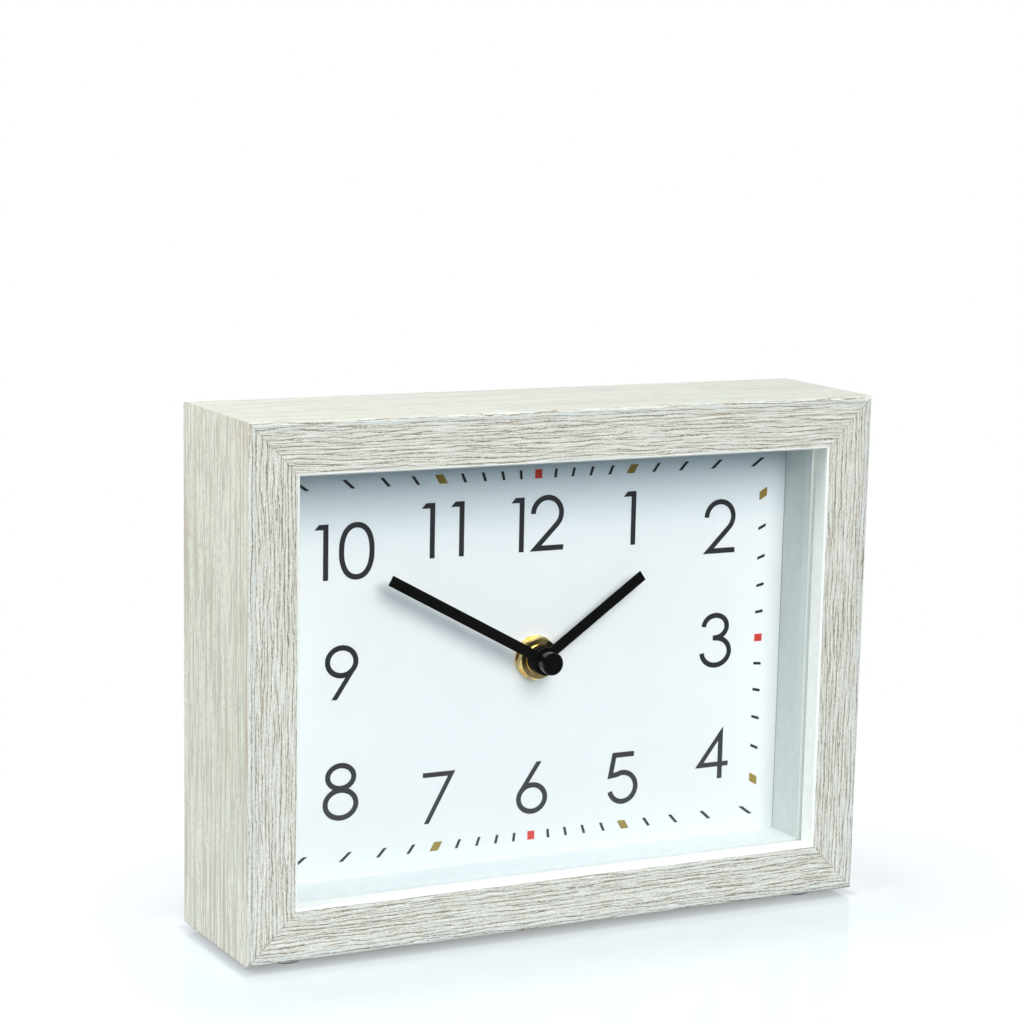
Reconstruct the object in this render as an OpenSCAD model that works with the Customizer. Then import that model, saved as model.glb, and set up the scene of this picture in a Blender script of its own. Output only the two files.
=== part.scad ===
// Box clock: a mitred wooden case, glazed, with a square dial and a battery quartz movement.
// Lengths are millimetres. Seen from the front, X runs right, Y runs back and Z runs up.
// The origin is on the shelf, under the middle of the case.

/* [Case] */
// Width of the wooden case
case_w = 184; // [176:1:220]
// Height of the wooden case without its feet
case_h = 140; // [132:1:180]
// Depth of the wooden case
case_d = 45; // [44:0.5:60]
// Width of the frame's front face
face_w = 14; // [12:0.5:16]
// Thickness of the frame's wall behind the lip
wall_t = 8; // [7:0.5:9]
// Depth of the lip in front of the glass
lip_d = 5.5; // [4:0.5:6.5]
// Radius of the eased outer edges
edge_r = 1; // [0.3:0.1:1.5]
// Thickness of the white strip on the lip
strip_t = 0.6; // [0.5:0.1:1]
// Bevel on the front edge of the white strip
strip_bevel = 0.35; // [0.1:0.05:0.4]

/* [Back] */
// Thickness of the back board
back_t = 3; // [2:0.5:3.5]
// Distance of the back board's face inside the case
back_inset = 0.5; // [0.5:0.1:1.5]
// Width of the rebate that holds the back board
back_rebate = 3; // [2:0.5:3.5]
// Gap between the movement's shell and the cut-out in the back board
cutout_gap = 5; // [3:0.5:10]
// Corner radius of the cut-out
cutout_r = 3; // [1:0.5:8]

/* [Feet] */
// Height of a foot pad
foot_h = 1.7; // [1:0.1:4]
// Diameter of a foot pad
foot_d = 10; // [6:0.5:14]
// Distance from the case's side to a pad's centre
foot_in_x = 14; // [9:0.5:30]
// Distance from the case's front or back to a pad's centre
foot_in_y = 9; // [8:0.5:12]

/* [Glass and dial] */
// Thickness of the glass
glass_t = 2; // [1.5:0.1:2.5]
// Distance from the case's front to the face of the dial
dial_recess = 21; // [20.5:0.1:21.5]
// Thickness of the dial's paper
sheet_t = 0.2; // [0.1:0.05:0.4]
// Thickness of the board behind the dial
board_t = 3; // [2.5:0.1:3.5]
// Thickness of the printed ink
ink_t = 0.08; // [0.05:0.01:0.15]
// Gap round the glass and the dial board inside the frame
fit_gap = 0.25; // [0.1:0.05:0.5]

/* [Numerals and marks] */
// Height of the numerals
numeral_h = 14.8; // [10:0.1:15]
// Width of a numeral's stroke
stroke_w = 1.45; // [0.8:0.05:2]
// Distance from the sight edge to the side rows of marks
track_in_x = 7; // [5:0.1:8]
// Distance from the sight edge to the top and bottom rows of marks
track_in_z = 6; // [5:0.1:7]
// Length of a minute mark
mark_l = 2.4; // [1.5:0.1:3]
// Width of a minute mark
mark_w = 0.75; // [0.4:0.05:1.2]
// Width of a gold hour mark
gold_w = 2.1; // [1.2:0.1:2.6]
// Width of a red quarter mark
red_w = 2.1; // [1.2:0.1:3]

/* [Hands] */
// Angle of the hour hand, clockwise from twelve
hour_angle = 54.875; // [0:0.125:359.875]
// Length of the minute hand from the centre
minute_hand_l = 52.6; // [40:0.1:55]
// Length of the hour hand from the centre
hour_hand_l = 37; // [25:0.1:40]
// Width of both hands
hand_w = 2.9; // [1.5:0.1:4]
// Thickness of both hands
hand_t = 0.5; // [0.3:0.05:0.5]
// Diameter of the round boss at a hand's root
boss_d = 7.7; // [6.5:0.1:9]
// Diameter of the cap nut
cap_d = 6.2; // [5:0.1:7]
// Height of the cap nut
cap_h = 4; // [3.5:0.1:4.5]

/* [Movement] */
// Corner radius of the movement's shell
shell_r = 2; // [1:0.1:3]
// Distance across the flats of the brass nut
nut_af = 11; // [10.5:0.1:13]
// Height of the brass nut
nut_h = 2.5; // [1.5:0.1:2.5]
// Diameter of the battery
battery_d = 14.2; // [13.5:0.1:14.4]
// Length of the battery without its terminal
battery_l = 49.5; // [49:0.1:50]
// Diameter of the setting knob
knob_d = 10; // [8:0.5:14]
// Height of the setting knob
knob_h = 3; // [2:0.1:3.4]

/* [Hidden] */
$fn = 64;
// Overrun of cuts past the surfaces that they open
cut = 1;

// Colours
wood_c = "#d6d3c8";
white_c = "#f4f5f3";
paper_c = "#eef3f6";
ink_c = "#3a3b40";
red_c = "#e2493c";
gold_c = "#a9954a";
board_c = "#a98d68";
black_c = "#141414";
brass_c = "#d8b04a";
steel_c = "#b9bcc0";
shell_c = "#26272a";
nylon_c = "#e9e6dc";
copper_c = "#b5652f";

// Planes from front to back
front_y = -case_d / 2;
back_y = case_d / 2;
glass_y = front_y + lip_d;
glass_back_y = glass_y + glass_t;
dial_y = front_y + dial_recess;
sheet_back_y = dial_y + sheet_t;
board_back_y = sheet_back_y + board_t;
washer_t = 0.6;
shell_y = board_back_y + washer_t;
board_face_y = back_y - back_inset;
shoulder_y = board_face_y - back_t;
hub_z = foot_h + case_h / 2;

// Half sizes of the case and of the sight opening, from its centre
half_w = case_w / 2;
half_h = case_h / 2;
sight_x = half_w - face_w;
sight_z = half_h - face_w;
track_x = sight_x - track_in_x;
track_z = sight_z - track_in_z;

// Places a child drawn round the centre of the dial
module at_hub() translate([0, 0, hub_z]) children();

// Extrudes a front view between two depths
module slab(y0, y1) translate([0, y1, 0]) rotate([90, 0, 0]) linear_extrude(y1 - y0) children();

// Round bar along Y
module bar_y(r, y0, y1, p = [0, 0]) translate([p[0], y1, p[1]]) rotate([90, 0, 0]) cylinder(h = y1 - y0, r = r);

// Round tube along Y
module tube_y(r, bore_r, y0, y1, p = [0, 0]) difference() {
    bar_y(r, y0, y1, p);
    bar_y(bore_r, y0 - cut, y1 + cut, p);
}

// Body turned about Y from a list of [radius, y]
module turned_y(points, p = [0, 0])
    translate([p[0], 0, p[1]]) rotate([-90, 0, 0]) rotate_extrude() polygon(points);

// Box by its two corners
module block(low, high) translate(low) cube(high - low);

// Square with round corners, centred
module rounded(w, h, r) {
    square([w - 2 * r, h], center = true);
    square([w, h - 2 * r], center = true);
    for (sx = [-1, 1], sz = [-1, 1]) translate([sx * (w / 2 - r), sz * (h / 2 - r)]) circle(r);
}

function polar(r, a) = r * [cos(a), sin(a)];
function unit(v) = v / norm(v);
function left_of(v) = [-v[1], v[0]];
// Points of an elliptical arc about c
function arc(c, rx, rz, a0, a1, n) = [for (i = [0:n]) let (a = a0 + (a1 - a0) * i / n) c + [rx * cos(a), rz * sin(a)]];

// Outline of a band of even width along a path, with mitred turns
function band(path, w) =
    let (last = len(path) - 1,
         heads = [for (i = [0:last]) unit(path[min(i + 1, last)] - path[min(i, last - 1)])],
         tails = [for (i = [0:last]) unit(path[max(i, 1)] - path[max(i, 1) - 1])],
         sides = [for (i = [0:last]) let (n = unit(left_of(heads[i]) + left_of(tails[i])))
                  n * w / 2 / (n * left_of(heads[i]))])
    concat([for (i = [0:last]) path[i] + sides[i]], [for (i = [last:-1:0]) path[i] - sides[i]]);

// Case frame

// Section of a rail: x runs from the outer face inwards, y from the front to the back
edge_steps = 6;
back_edge_r = edge_r / 2;
function rail_section() = concat(
    arc([edge_r, edge_r], edge_r, edge_r, 180, 270, edge_steps),
    [[face_w - strip_t, 0], [face_w - strip_t, lip_d], [wall_t, lip_d], [wall_t, shoulder_y - front_y],
     [wall_t - back_rebate, shoulder_y - front_y], [wall_t - back_rebate, case_d]],
    arc([back_edge_r, case_d - back_edge_r], back_edge_r, back_edge_r, 90, 180, edge_steps));

// Front view of the mitred length of a bar between two distances from the outer face, at the bottom
module mitred_bar(half_l, half_o, w0, w1, y0, y1) slab(y0, y1)
    polygon([[-half_l + w0, -half_o + w0], [half_l - w0, -half_o + w0],
             [half_l - w1, -half_o + w1], [-half_l + w1, -half_o + w1]]);

// Turns a bar drawn at the bottom to one side of the case: 0 bottom, 1 left, 2 top, 3 right
module on_side(side) at_hub() rotate([0, 90 * side, 0]) children();
function along(side) = side % 2 == 0 ? half_w : half_h;
function across(side) = side % 2 == 0 ? half_h : half_w;

// Wedges that draw the mitres together, driven in behind the back board
wedge_leg = 2;
wedge_t = 0.5;
wedge_d = 9;
wedge_cover = 0.6;
wedge_at = wall_t - wedge_cover;
module corner_wedge() slab(shoulder_y - wedge_d, shoulder_y)
    polygon(band([[-half_w + wedge_at - wedge_leg, -half_h + wedge_at], [-half_w + wedge_at, -half_h + wedge_at],
                  [-half_w + wedge_at, -half_h + wedge_at - wedge_leg]], wedge_t));
module corner_wedge_set() at_hub() for (sx = [0, 1], sz = [0, 1])
    mirror([sx, 0, 0]) mirror([0, 0, sz]) corner_wedge();

// Steel points pressed into the walls to hold the dial board
point_t = 0.6;
point_w = 7;
point_l = 9.5;
point_bite = 4.5;
point_share = 0.5;
module point_plate(side, x) on_side(side)
    block([x - point_w / 2, board_back_y, -across(side) + wall_t - point_bite],
          [x + point_w / 2, board_back_y + point_t, -across(side) + wall_t - point_bite + point_l]);
module point_set() for (side = [0:3], s = side % 2 == 0 ? [-1, 1] : [0]) point_plate(side, s * point_share * half_w);

// Pins that hold the back board
pin_r = 0.6;
pin_l = 12;
pin_head_r = 1.3;
pin_head_t = 0.4;
pin_in = wall_t - back_rebate / 2;
pin_share = 0.72;
module pin_places() for (side = [0:3], s = side % 2 == 0 ? [-1, 0, 1] : [-1, 1])
    on_side(side) translate([s * pin_share * along(side), 0, -across(side) + pin_in]) children();
module pin_shanks() pin_places() bar_y(pin_r, board_face_y - pin_l, board_face_y);

module rail(side) color(wood_c) difference() {
    on_side(side) intersection() {
        translate([0, front_y, -across(side)]) rotate([0, -90, 0])
            linear_extrude(2 * along(side), center = true) polygon(rail_section());
        mitred_bar(along(side), across(side), 0, face_w, front_y - cut, back_y + cut);
    }
    corner_wedge_set();
    point_set();
    pin_shanks();
}
module bottom_rail() rail(0);
module left_stile() rail(1);
module top_rail() rail(2);
module right_stile() rail(3);

// White strip on the lip, with a bevelled front edge
module sight_strip(side) color(white_c) on_side(side) intersection() {
    translate([0, front_y, -across(side)]) rotate([0, -90, 0]) linear_extrude(2 * along(side), center = true)
        polygon([[face_w - strip_t, 0], [face_w - strip_bevel, 0], [face_w, strip_bevel],
                 [face_w, lip_d], [face_w - strip_t, lip_d]]);
    mitred_bar(along(side), across(side), face_w - strip_t, face_w, front_y - cut, glass_y + cut);
}
module bottom_sight_strip() sight_strip(0);
module left_sight_strip() sight_strip(1);
module top_sight_strip() sight_strip(2);
module right_sight_strip() sight_strip(3);

module corner_wedges() color(steel_c) corner_wedge_set();

module glass() color("#cfe3e0", 0.25) at_hub() slab(glass_y, glass_back_y)
    square(2 * [half_w - wall_t - fit_gap, half_h - wall_t - fit_gap], center = true);

// White strip that keeps the dial away from the glass
module spacer(side) color(white_c) on_side(side)
    mitred_bar(along(side), across(side), wall_t + fit_gap, face_w, glass_back_y, dial_y);
module bottom_spacer() spacer(0);
module left_spacer() spacer(1);
module top_spacer() spacer(2);
module right_spacer() spacer(3);

// Back board with its cut-out, and the pins
module back_board() color(board_c) difference() {
    at_hub() slab(shoulder_y, board_face_y) difference() {
        square(2 * [half_w - wall_t + back_rebate - fit_gap, half_h - wall_t + back_rebate - fit_gap], center = true);
        shell_outline(cutout_gap, cutout_r);
    }
    pin_shanks();
}
module back_pins() color(steel_c) {
    pin_shanks();
    pin_places() bar_y(pin_head_r, board_face_y, board_face_y + pin_head_t);
}

// Four round pads with a bevelled lower edge
foot_bevel = 0.4;
module foot_pads() color("#8d9094") for (sx = [-1, 1], sy = [-1, 1])
    translate([sx * (half_w - foot_in_x), sy * (case_d / 2 - foot_in_y), 0]) rotate_extrude()
        polygon([[0, 0], [foot_d / 2 - foot_bevel, 0], [foot_d / 2, foot_bevel], [foot_d / 2, foot_h], [0, foot_h]]);

// Dial

bush_r = 4;
bush_gap = 0.05;
module dial_blank(y0, y1, bore_r) at_hub() slab(y0, y1) difference() {
    square(2 * [half_w - wall_t - fit_gap, half_h - wall_t - fit_gap], center = true);
    circle(bore_r);
}
sheet_gap = 0.3;
sheet_bore_r = bush_r + sheet_gap;
board_bore_r = bush_r + bush_gap;
module dial_sheet() color(paper_c) dial_blank(dial_y, sheet_back_y, sheet_bore_r);
module dial_board() color(board_c) dial_blank(sheet_back_y, board_back_y, board_bore_r);
module board_points() color(steel_c) point_set();

// Numerals: a light upright face drawn as shares of the numeral's height, from the foot of its middle
one_stem_share = 0.086;
one_flag_share = [-0.044, -0.132, 0.905];
zero_share = [0.294, 0.465];
two_bowl_share = [[0.007, 0.689], 0.2885];
two_base_share = 0.345;
three_top_share = [[-0.017, 0.780], 0.2515, 0.216];
three_foot_share = [[0, 0.297], 0.299, 0.2615];
three_bar_share = [-0.064, 0.563];
four_share = [[-0.361, 0.236], [0.132, 0.236], [0.132, 0], [0.233, 0], [0.233, 0.236], [0.361, 0.236],
              [0.361, 0.328], [0.233, 0.328], [0.233, 1.01]];
four_hole_share = [[-0.176, 0.328], [0.132, 0.328], [0.132, 0.743]];
five_share = [[0.24, 0.937], [-0.177, 0.937], [-0.253, 0.545]];
five_bowl_share = [[0.01, 0.311], 0.279];
six_bowl_share = [[0, 0.29], 0.274, 0.251];
six_stem_share = [[0.139, 0.976], [-0.224, 0.434]];
six_stem_w_share = 0.105;
seven_share = [[-0.324, 0.976], [0.328, 0.976], [-0.196, 0.02], [-0.291, 0.02], [0.182, 0.888], [-0.324, 0.888]];
eight_top_share = [[0, 0.794], 0.254, 0.21];
eight_foot_share = [[0, 0.297], 0.3, 0.2555];
arc_steps = 28;
ring_steps = 56;

module stroke(path_share) polygon(band(numeral_h * path_share, stroke_w));
module ring(c_share, rx_share, rz_share) difference() {
    polygon(arc(numeral_h * c_share, numeral_h * rx_share + stroke_w / 2, numeral_h * rz_share + stroke_w / 2,
                0, 360 - 360 / ring_steps, ring_steps - 1));
    polygon(arc(numeral_h * c_share, numeral_h * rx_share - stroke_w / 2, numeral_h * rz_share - stroke_w / 2,
                0, 360 - 360 / ring_steps, ring_steps - 1));
}
module digit_one() {
    half_share = stroke_w / numeral_h / 2;
    polygon(numeral_h * [[one_stem_share - half_share, 0], [one_stem_share + half_share, 0],
                         [one_stem_share + half_share, 1], [one_flag_share[0], 1],
                         [one_flag_share[1], one_flag_share[2]], [one_stem_share - half_share, one_flag_share[2]]]);
}
module digit_zero() {
    c = numeral_h * [0, 1 / 2];
    // A rounder oval than an ellipse
    squareness = 2.25;
    function oval(r) = [for (i = [0:ring_steps - 1]) let (a = 360 * i / ring_steps, u = [cos(a), sin(a)])
        c + [for (k = [0, 1]) r[k] * sign(u[k]) * pow(abs(u[k]), 2 / squareness)]];
    difference() {
        polygon(oval([for (s = zero_share) numeral_h * s + stroke_w / 2]));
        polygon(oval([for (s = zero_share) numeral_h * s - stroke_w / 2]));
    }
}
module digit_two() {
    base_share = stroke_w / numeral_h / 2;
    r_share = two_bowl_share[1];
    bowl = arc(two_bowl_share[0], r_share, r_share, 180, -45, arc_steps);
    knee = bowl[arc_steps];
    stroke(concat(bowl, [[knee[0] - knee[1] + base_share, base_share], [two_base_share, base_share]]));
}
module digit_three() {
    stroke(arc(three_top_share[0], three_top_share[1], three_top_share[2], 178, -90, arc_steps));
    stroke(arc(three_foot_share[0], three_foot_share[1], three_foot_share[2], 92, -176, arc_steps));
    stroke([three_bar_share, [0, three_bar_share[1]]]);
}
module digit_four() difference() {
    polygon(numeral_h * four_share);
    polygon(numeral_h * four_hole_share);
}
module digit_five() stroke(concat(five_share,
    arc(five_bowl_share[0], five_bowl_share[1], five_bowl_share[1], 116, -165, arc_steps)));
module digit_six() {
    ring(six_bowl_share[0], six_bowl_share[1], six_bowl_share[2]);
    w = numeral_h * [six_stem_w_share / 2, 0];
    ends = numeral_h * six_stem_share;
    polygon([ends[0] + w, ends[0] - w, ends[1] - w, ends[1] + w]);
}
module digit_seven() polygon(numeral_h * seven_share);
module digit_eight() {
    ring(eight_top_share[0], eight_top_share[1], eight_top_share[2]);
    ring(eight_foot_share[0], eight_foot_share[1], eight_foot_share[2]);
}
module digit_nine() translate([0, numeral_h]) rotate(180) digit_six();

// Distance from a two-digit numeral's middle to the middle of each digit
pair_share = [0.41, 0.272];
inner_column_share = 0.398;
outer_column_share = 0.804;
row_share = 0.728;
corner_row_share = 0.647;
inner_x = inner_column_share * track_x;
outer_x = outer_column_share * track_x;
row_z = row_share * track_z;
corner_z = corner_row_share * track_z;
module numeral(x, z) translate([x, z - numeral_h / 2]) children();
module pair(x, z) numeral(x, z) {
    translate([-numeral_h * pair_share[0], 0]) digit_one();
    translate([numeral_h * pair_share[1], 0]) children();
}
eleven_share = 0.291;
twelve_share = 0.08;
module dial_numerals() color(ink_c) at_hub() slab(dial_y - ink_t, dial_y) {
    pair(0, row_z) translate([-numeral_h * twelve_share, 0]) digit_two();
    numeral(inner_x, row_z) digit_one();
    numeral(outer_x, corner_z) digit_two();
    numeral(outer_x, 0) digit_three();
    numeral(outer_x, -corner_z) digit_four();
    numeral(inner_x, -row_z) digit_five();
    numeral(0, -row_z) digit_six();
    numeral(-inner_x, -row_z) digit_seven();
    numeral(-outer_x, -corner_z) digit_eight();
    numeral(-outer_x, 0) digit_nine();
    pair(-outer_x, corner_z) digit_zero();
    numeral(-inner_x - numeral_h * eleven_share, row_z) digit_one();
    numeral(-inner_x + numeral_h * eleven_share, row_z) digit_one();
}

// Marks: slanted to the centre, with their ends along the rows
corner_minute = atan(track_x / track_z) / 6;
function in_row(k) = let (m = min(k % 30, 30 - k % 30)) m <= corner_minute;
module mark(k, w) {
    a = 6 * k;
    rows = in_row(k);
    c = rows ? [track_z * tan(a), track_z] * sign(cos(a)) : [track_x, track_x / tan(a)] * sign(sin(a));
    lean = rows ? [tan(a) * mark_l / 2, mark_l / 2] : [mark_l / 2, mark_l / 2 / tan(a)];
    side = rows ? [w / 2 / abs(cos(a)), 0] : [0, w / 2 / abs(sin(a))];
    polygon([c - lean - side, c - lean + side, c + lean + side, c + lean - side]);
}
module mark_set(minutes, w) at_hub() slab(dial_y - ink_t, dial_y) for (k = minutes) mark(k, w);
module minute_marks() color(ink_c) mark_set([for (k = [0:59]) if (k % 5 != 0) k], mark_w);
module quarter_marks() color(red_c) mark_set([0, 15, 30, 45], red_w);
module hour_marks() color(gold_c) mark_set([for (k = [5:5:55]) if (k % 15 != 0) k], gold_w);

// Hands. Heights are distances in front of the dial's face.

minute_angle = 12 * hour_angle % 360;
washer_h = 0.5;
bush_proud = 0.4;
run_gap = 0.2;
collet_h = 0.9;
hand_space = 0.6;
nut_top = washer_h + nut_h;
bush_top = nut_top + bush_proud;
hour_collet_at = bush_top + run_gap;
hour_hand_at = hour_collet_at + collet_h;
pipe_top = hour_hand_at + hand_t;
minute_collet_at = pipe_top + hand_space;
minute_hand_at = minute_collet_at + collet_h;
cap_at = minute_hand_at + hand_t;
arbor_r = 1.5;
pipe_r = 2.55;
pipe_gap = 0.07;
pipe_bore_r = arbor_r + pipe_gap;
// Plane at a height in front of the dial
function ahead(h) = dial_y - h;

module hand(l, bore_r, angle, at) at_hub() slab(ahead(at + hand_t), ahead(at)) difference() {
    union() {
        circle(boss_d / 2);
        rotate(-angle) translate([-hand_w / 2, 0]) square([hand_w, l]);
    }
    circle(bore_r);
}
module hour_hand() color(black_c) hand(hour_hand_l, pipe_r, hour_angle, hour_hand_at);
module minute_hand() color(black_c) hand(minute_hand_l, arbor_r, minute_angle, minute_hand_at);

// Collets: black rings behind the hands that grip the pipe and the arbor
collet_bevel = 0.2;
collet_step = 0.15;
collet_r = boss_d / 2 - collet_step;
module collet(at, bore_r) at_hub() turned_y([[bore_r, ahead(at + collet_h)], [collet_r, ahead(at + collet_h)],
    [collet_r, ahead(at + collet_bevel)], [collet_r - collet_bevel, ahead(at)], [bore_r, ahead(at)]]);
module hour_collet() color(black_c) collet(hour_collet_at, pipe_r);
module minute_collet() color(black_c) collet(minute_collet_at, arbor_r);

// Closed cap nut on the arbor's thread
thread_l = 2.8;
cap_bevel = 0.35;
cap_r = cap_d / 2;
module cap_nut() color(black_c) at_hub() turned_y([[arbor_r, ahead(cap_at)], [cap_r, ahead(cap_at)],
    [cap_r, ahead(cap_at + cap_h - cap_bevel)], [cap_r - cap_bevel, ahead(cap_at + cap_h)],
    [0, ahead(cap_at + cap_h)], [0, ahead(cap_at + thread_l)], [arbor_r, ahead(cap_at + thread_l)]]);

// Brass fixing

washer_r = 6;
nut_round_share = 0.545;
nut_round_r = nut_round_share * nut_af;
nut_turn = 15;
nut_bevel = 0.5;
module hex_nut() color(brass_c) at_hub() difference() {
    intersection() {
        slab(ahead(nut_top), ahead(washer_h)) rotate(nut_turn) circle(nut_af / 2 / cos(30), $fn = 6);
        turned_y([[0, ahead(nut_top)], [nut_round_r - nut_bevel, ahead(nut_top)],
                  [nut_round_r, ahead(nut_top - nut_bevel)], [nut_round_r, ahead(washer_h)], [0, ahead(washer_h)]]);
    }
    bar_y(bush_r, ahead(nut_top + cut), ahead(washer_h - cut));
}
module brass_washer() color(brass_c) at_hub() tube_y(washer_r, bush_r, ahead(washer_h), dial_y);

front_wall = 1.4;
flange_r = 6;
flange_t = 1;
flange_y = shell_y + front_wall;
module threaded_bush() color(brass_c) at_hub() difference() {
    union() {
        bar_y(bush_r, ahead(bush_top), flange_y + flange_t);
        bar_y(flange_r, flange_y, flange_y + flange_t);
    }
    bar_y(pipe_r + pipe_gap, ahead(bush_top + cut), flange_y + flange_t + cut);
}
rubber_r = 9;
module rubber_washer() color("#1b1b1b") at_hub() tube_y(rubber_r, board_bore_r, board_back_y, shell_y);

// Gears

add_share = 0.75;
ded_share = 1.1;
tooth_share = [[-0.27, -1], [-0.2, 0], [-0.09, 1], [0.09, 1], [0.2, 0], [0.27, -1]];
// Outline of a gear with tooth 0 at an angle
function gear_outline(teeth, m, phase) = [for (i = [0:teeth - 1]) for (s = tooth_share)
    polar(m * teeth / 2 + (s[1] > 0 ? add_share : s[1] < 0 ? -ded_share : 0) * m, phase + 360 * (i + s[0]) / teeth)];
// Phase of gear b that meshes with gear a along a line from a to b
function mesh_phase(line, phase_a, teeth_a, teeth_b) = line + 180 - ((phase_a - line) * teeth_a + 180) / teeth_b;
function mesh_distance(m, teeth_a, teeth_b) = m * (teeth_a + teeth_b) / 2;
module gear(p, teeth, m, phase, y0, t) translate([p[0], 0, p[1]]) slab(y0, y0 + t)
    polygon(gear_outline(teeth, m, phase));

// Layers inside the shell, each behind the one before
hour_t = 1;
motion_t = 0.8;
plate_t = 1;
wheel_t = 0.7;
pinion_over = 0.2;
hour_space = 0.2;
motion_space = 0.5;
plate_space = 0.7;
train_step = 1.5;
hour_layer = flange_y + flange_t + hour_space;
motion_layer = hour_layer + hour_t + motion_space;
plate_y = motion_layer + motion_t + plate_space;
plate_back_y = plate_y + plate_t;
centre_layer = plate_back_y + plate_space;
third_layer = centre_layer + train_step;
seconds_layer = third_layer + train_step;
fifth_layer = seconds_layer + train_step;
boss_space = 0.8;
boss_l = 1.4;
cover_t = 1.3;
boss_y = fifth_layer + wheel_t + boss_space;
cover_y = boss_y + boss_l;
shell_back_y = cover_y + cover_t;
pivot_r = 0.5;
pivot_gap = 0.05;
stem_r = 0.8;
end_shake = 0.1;
pillar_l = 3.2;
stator_layer = plate_back_y + pillar_l;
card_post_l = 10.2;
card_layer = flange_y + card_post_l;

// Motion work between the hands
cannon_teeth = 12;
minute_teeth = 36;
minute_pinion_teeth = 10;
hour_teeth = 40;
motion_module = 0.5;
motion_distance = mesh_distance(motion_module, cannon_teeth, minute_teeth);
hour_module = 2 * motion_distance / (minute_pinion_teeth + hour_teeth);
set_line = 0;
set_p = polar(motion_distance, set_line);
hub_p = [0, 0];

// Going train, each wheel placed from the one before
centre_teeth = 60;
third_pinion_teeth = 8;
third_teeth = 64;
seconds_pinion_teeth = 8;
seconds_teeth = 50;
fifth_pinion_teeth = 10;
fifth_teeth = 48;
rotor_teeth = 8;
centre_module = 0.3;
train_module = 0.25;
third_line = 120;
seconds_line = 40;
fifth_line = 0;
rotor_line = -20;
third_p = polar(mesh_distance(centre_module, centre_teeth, third_pinion_teeth), third_line);
seconds_p = third_p + polar(mesh_distance(train_module, third_teeth, seconds_pinion_teeth), seconds_line);
fifth_p = seconds_p + polar(mesh_distance(train_module, seconds_teeth, fifth_pinion_teeth), fifth_line);
rotor_p = fifth_p + polar(mesh_distance(train_module, fifth_teeth, rotor_teeth), rotor_line);

module hour_wheel() color(nylon_c) at_hub() difference() {
    union() {
        gear(hub_p, hour_teeth, hour_module, mesh_phase(set_line + 180, 0, minute_pinion_teeth, hour_teeth),
             hour_layer, hour_t);
        bar_y(pipe_r, ahead(pipe_top), hour_layer + hour_t);
    }
    bar_y(pipe_bore_r, ahead(pipe_top + cut), hour_layer + hour_t + cut);
}

// Arbor that carries the minute hand, with the pinion that drives the motion work
rear_r = 1;
module minute_arbor() color(steel_c) at_hub() {
    bar_y(arbor_r, ahead(cap_at + thread_l), motion_layer + motion_t + pinion_over);
    gear(hub_p, cannon_teeth, motion_module, 0, motion_layer - pinion_over, motion_t + 2 * pinion_over);
    bar_y(rear_r, motion_layer + motion_t + pinion_over, cover_y - end_shake);
}

minute_hub_r = 2;
module minute_wheel() color(nylon_c) at_hub() difference() {
    union() {
        gear(set_p, minute_teeth, motion_module, mesh_phase(set_line, 0, cannon_teeth, minute_teeth),
             motion_layer, motion_t);
        gear(set_p, minute_pinion_teeth, hour_module, 0, hour_layer - end_shake, motion_layer - hour_layer + end_shake);
        bar_y(minute_hub_r, motion_layer + motion_t, plate_y - end_shake, set_p);
    }
    bar_y(rear_r, hour_layer - cut, plate_y, set_p);
}

// Knob and its shaft, on which the minute wheel is pressed
set_boss_l = 0.9;
set_boss_y = flange_y + set_boss_l;
knob_notches = 18;
notch_share = 0.07;
knob_bevel = 0.4;
knob_gap = 0.2;
module setting_knob() color(shell_c) at_hub() {
    bar_y(rear_r, flange_y + end_shake, plate_y - end_shake, set_p);
    bar_y(arbor_r, plate_y - end_shake, shell_back_y + knob_gap, set_p);
    difference() {
        turned_y([[0, shell_back_y + knob_gap], [knob_d / 2, shell_back_y + knob_gap],
                  [knob_d / 2, shell_back_y + knob_h - knob_bevel], [knob_d / 2 - knob_bevel, shell_back_y + knob_h],
                  [0, shell_back_y + knob_h]], set_p);
        for (i = [0:knob_notches - 1])
            bar_y(notch_share * knob_d / 2, shell_back_y, shell_back_y + knob_h + cut,
                  set_p + polar(knob_d / 2, 360 * (i + 1 / 2) / knob_notches));
    }
}

// Wheel that the train drives, gripped by the arbor through a friction fit
clutch_gap = 0.05;
centre_hub_r = 2.2;
centre_hub_front = 0.3;
centre_hub_back = 0.5;
module centre_wheel() color(nylon_c) at_hub() difference() {
    union() {
        gear(hub_p, centre_teeth, centre_module, 0, centre_layer, wheel_t);
        bar_y(centre_hub_r, centre_layer - centre_hub_front, centre_layer + wheel_t + centre_hub_back);
    }
    bar_y(rear_r + clutch_gap, centre_layer - cut, centre_layer + wheel_t + cut);
}

// Arbor with a thin pivot at each end
module train_arbor(p) {
    bar_y(stem_r, plate_back_y + end_shake, boss_y - end_shake, p);
    bar_y(pivot_r, plate_y + end_shake, cover_y - end_shake, p);
}
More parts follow.
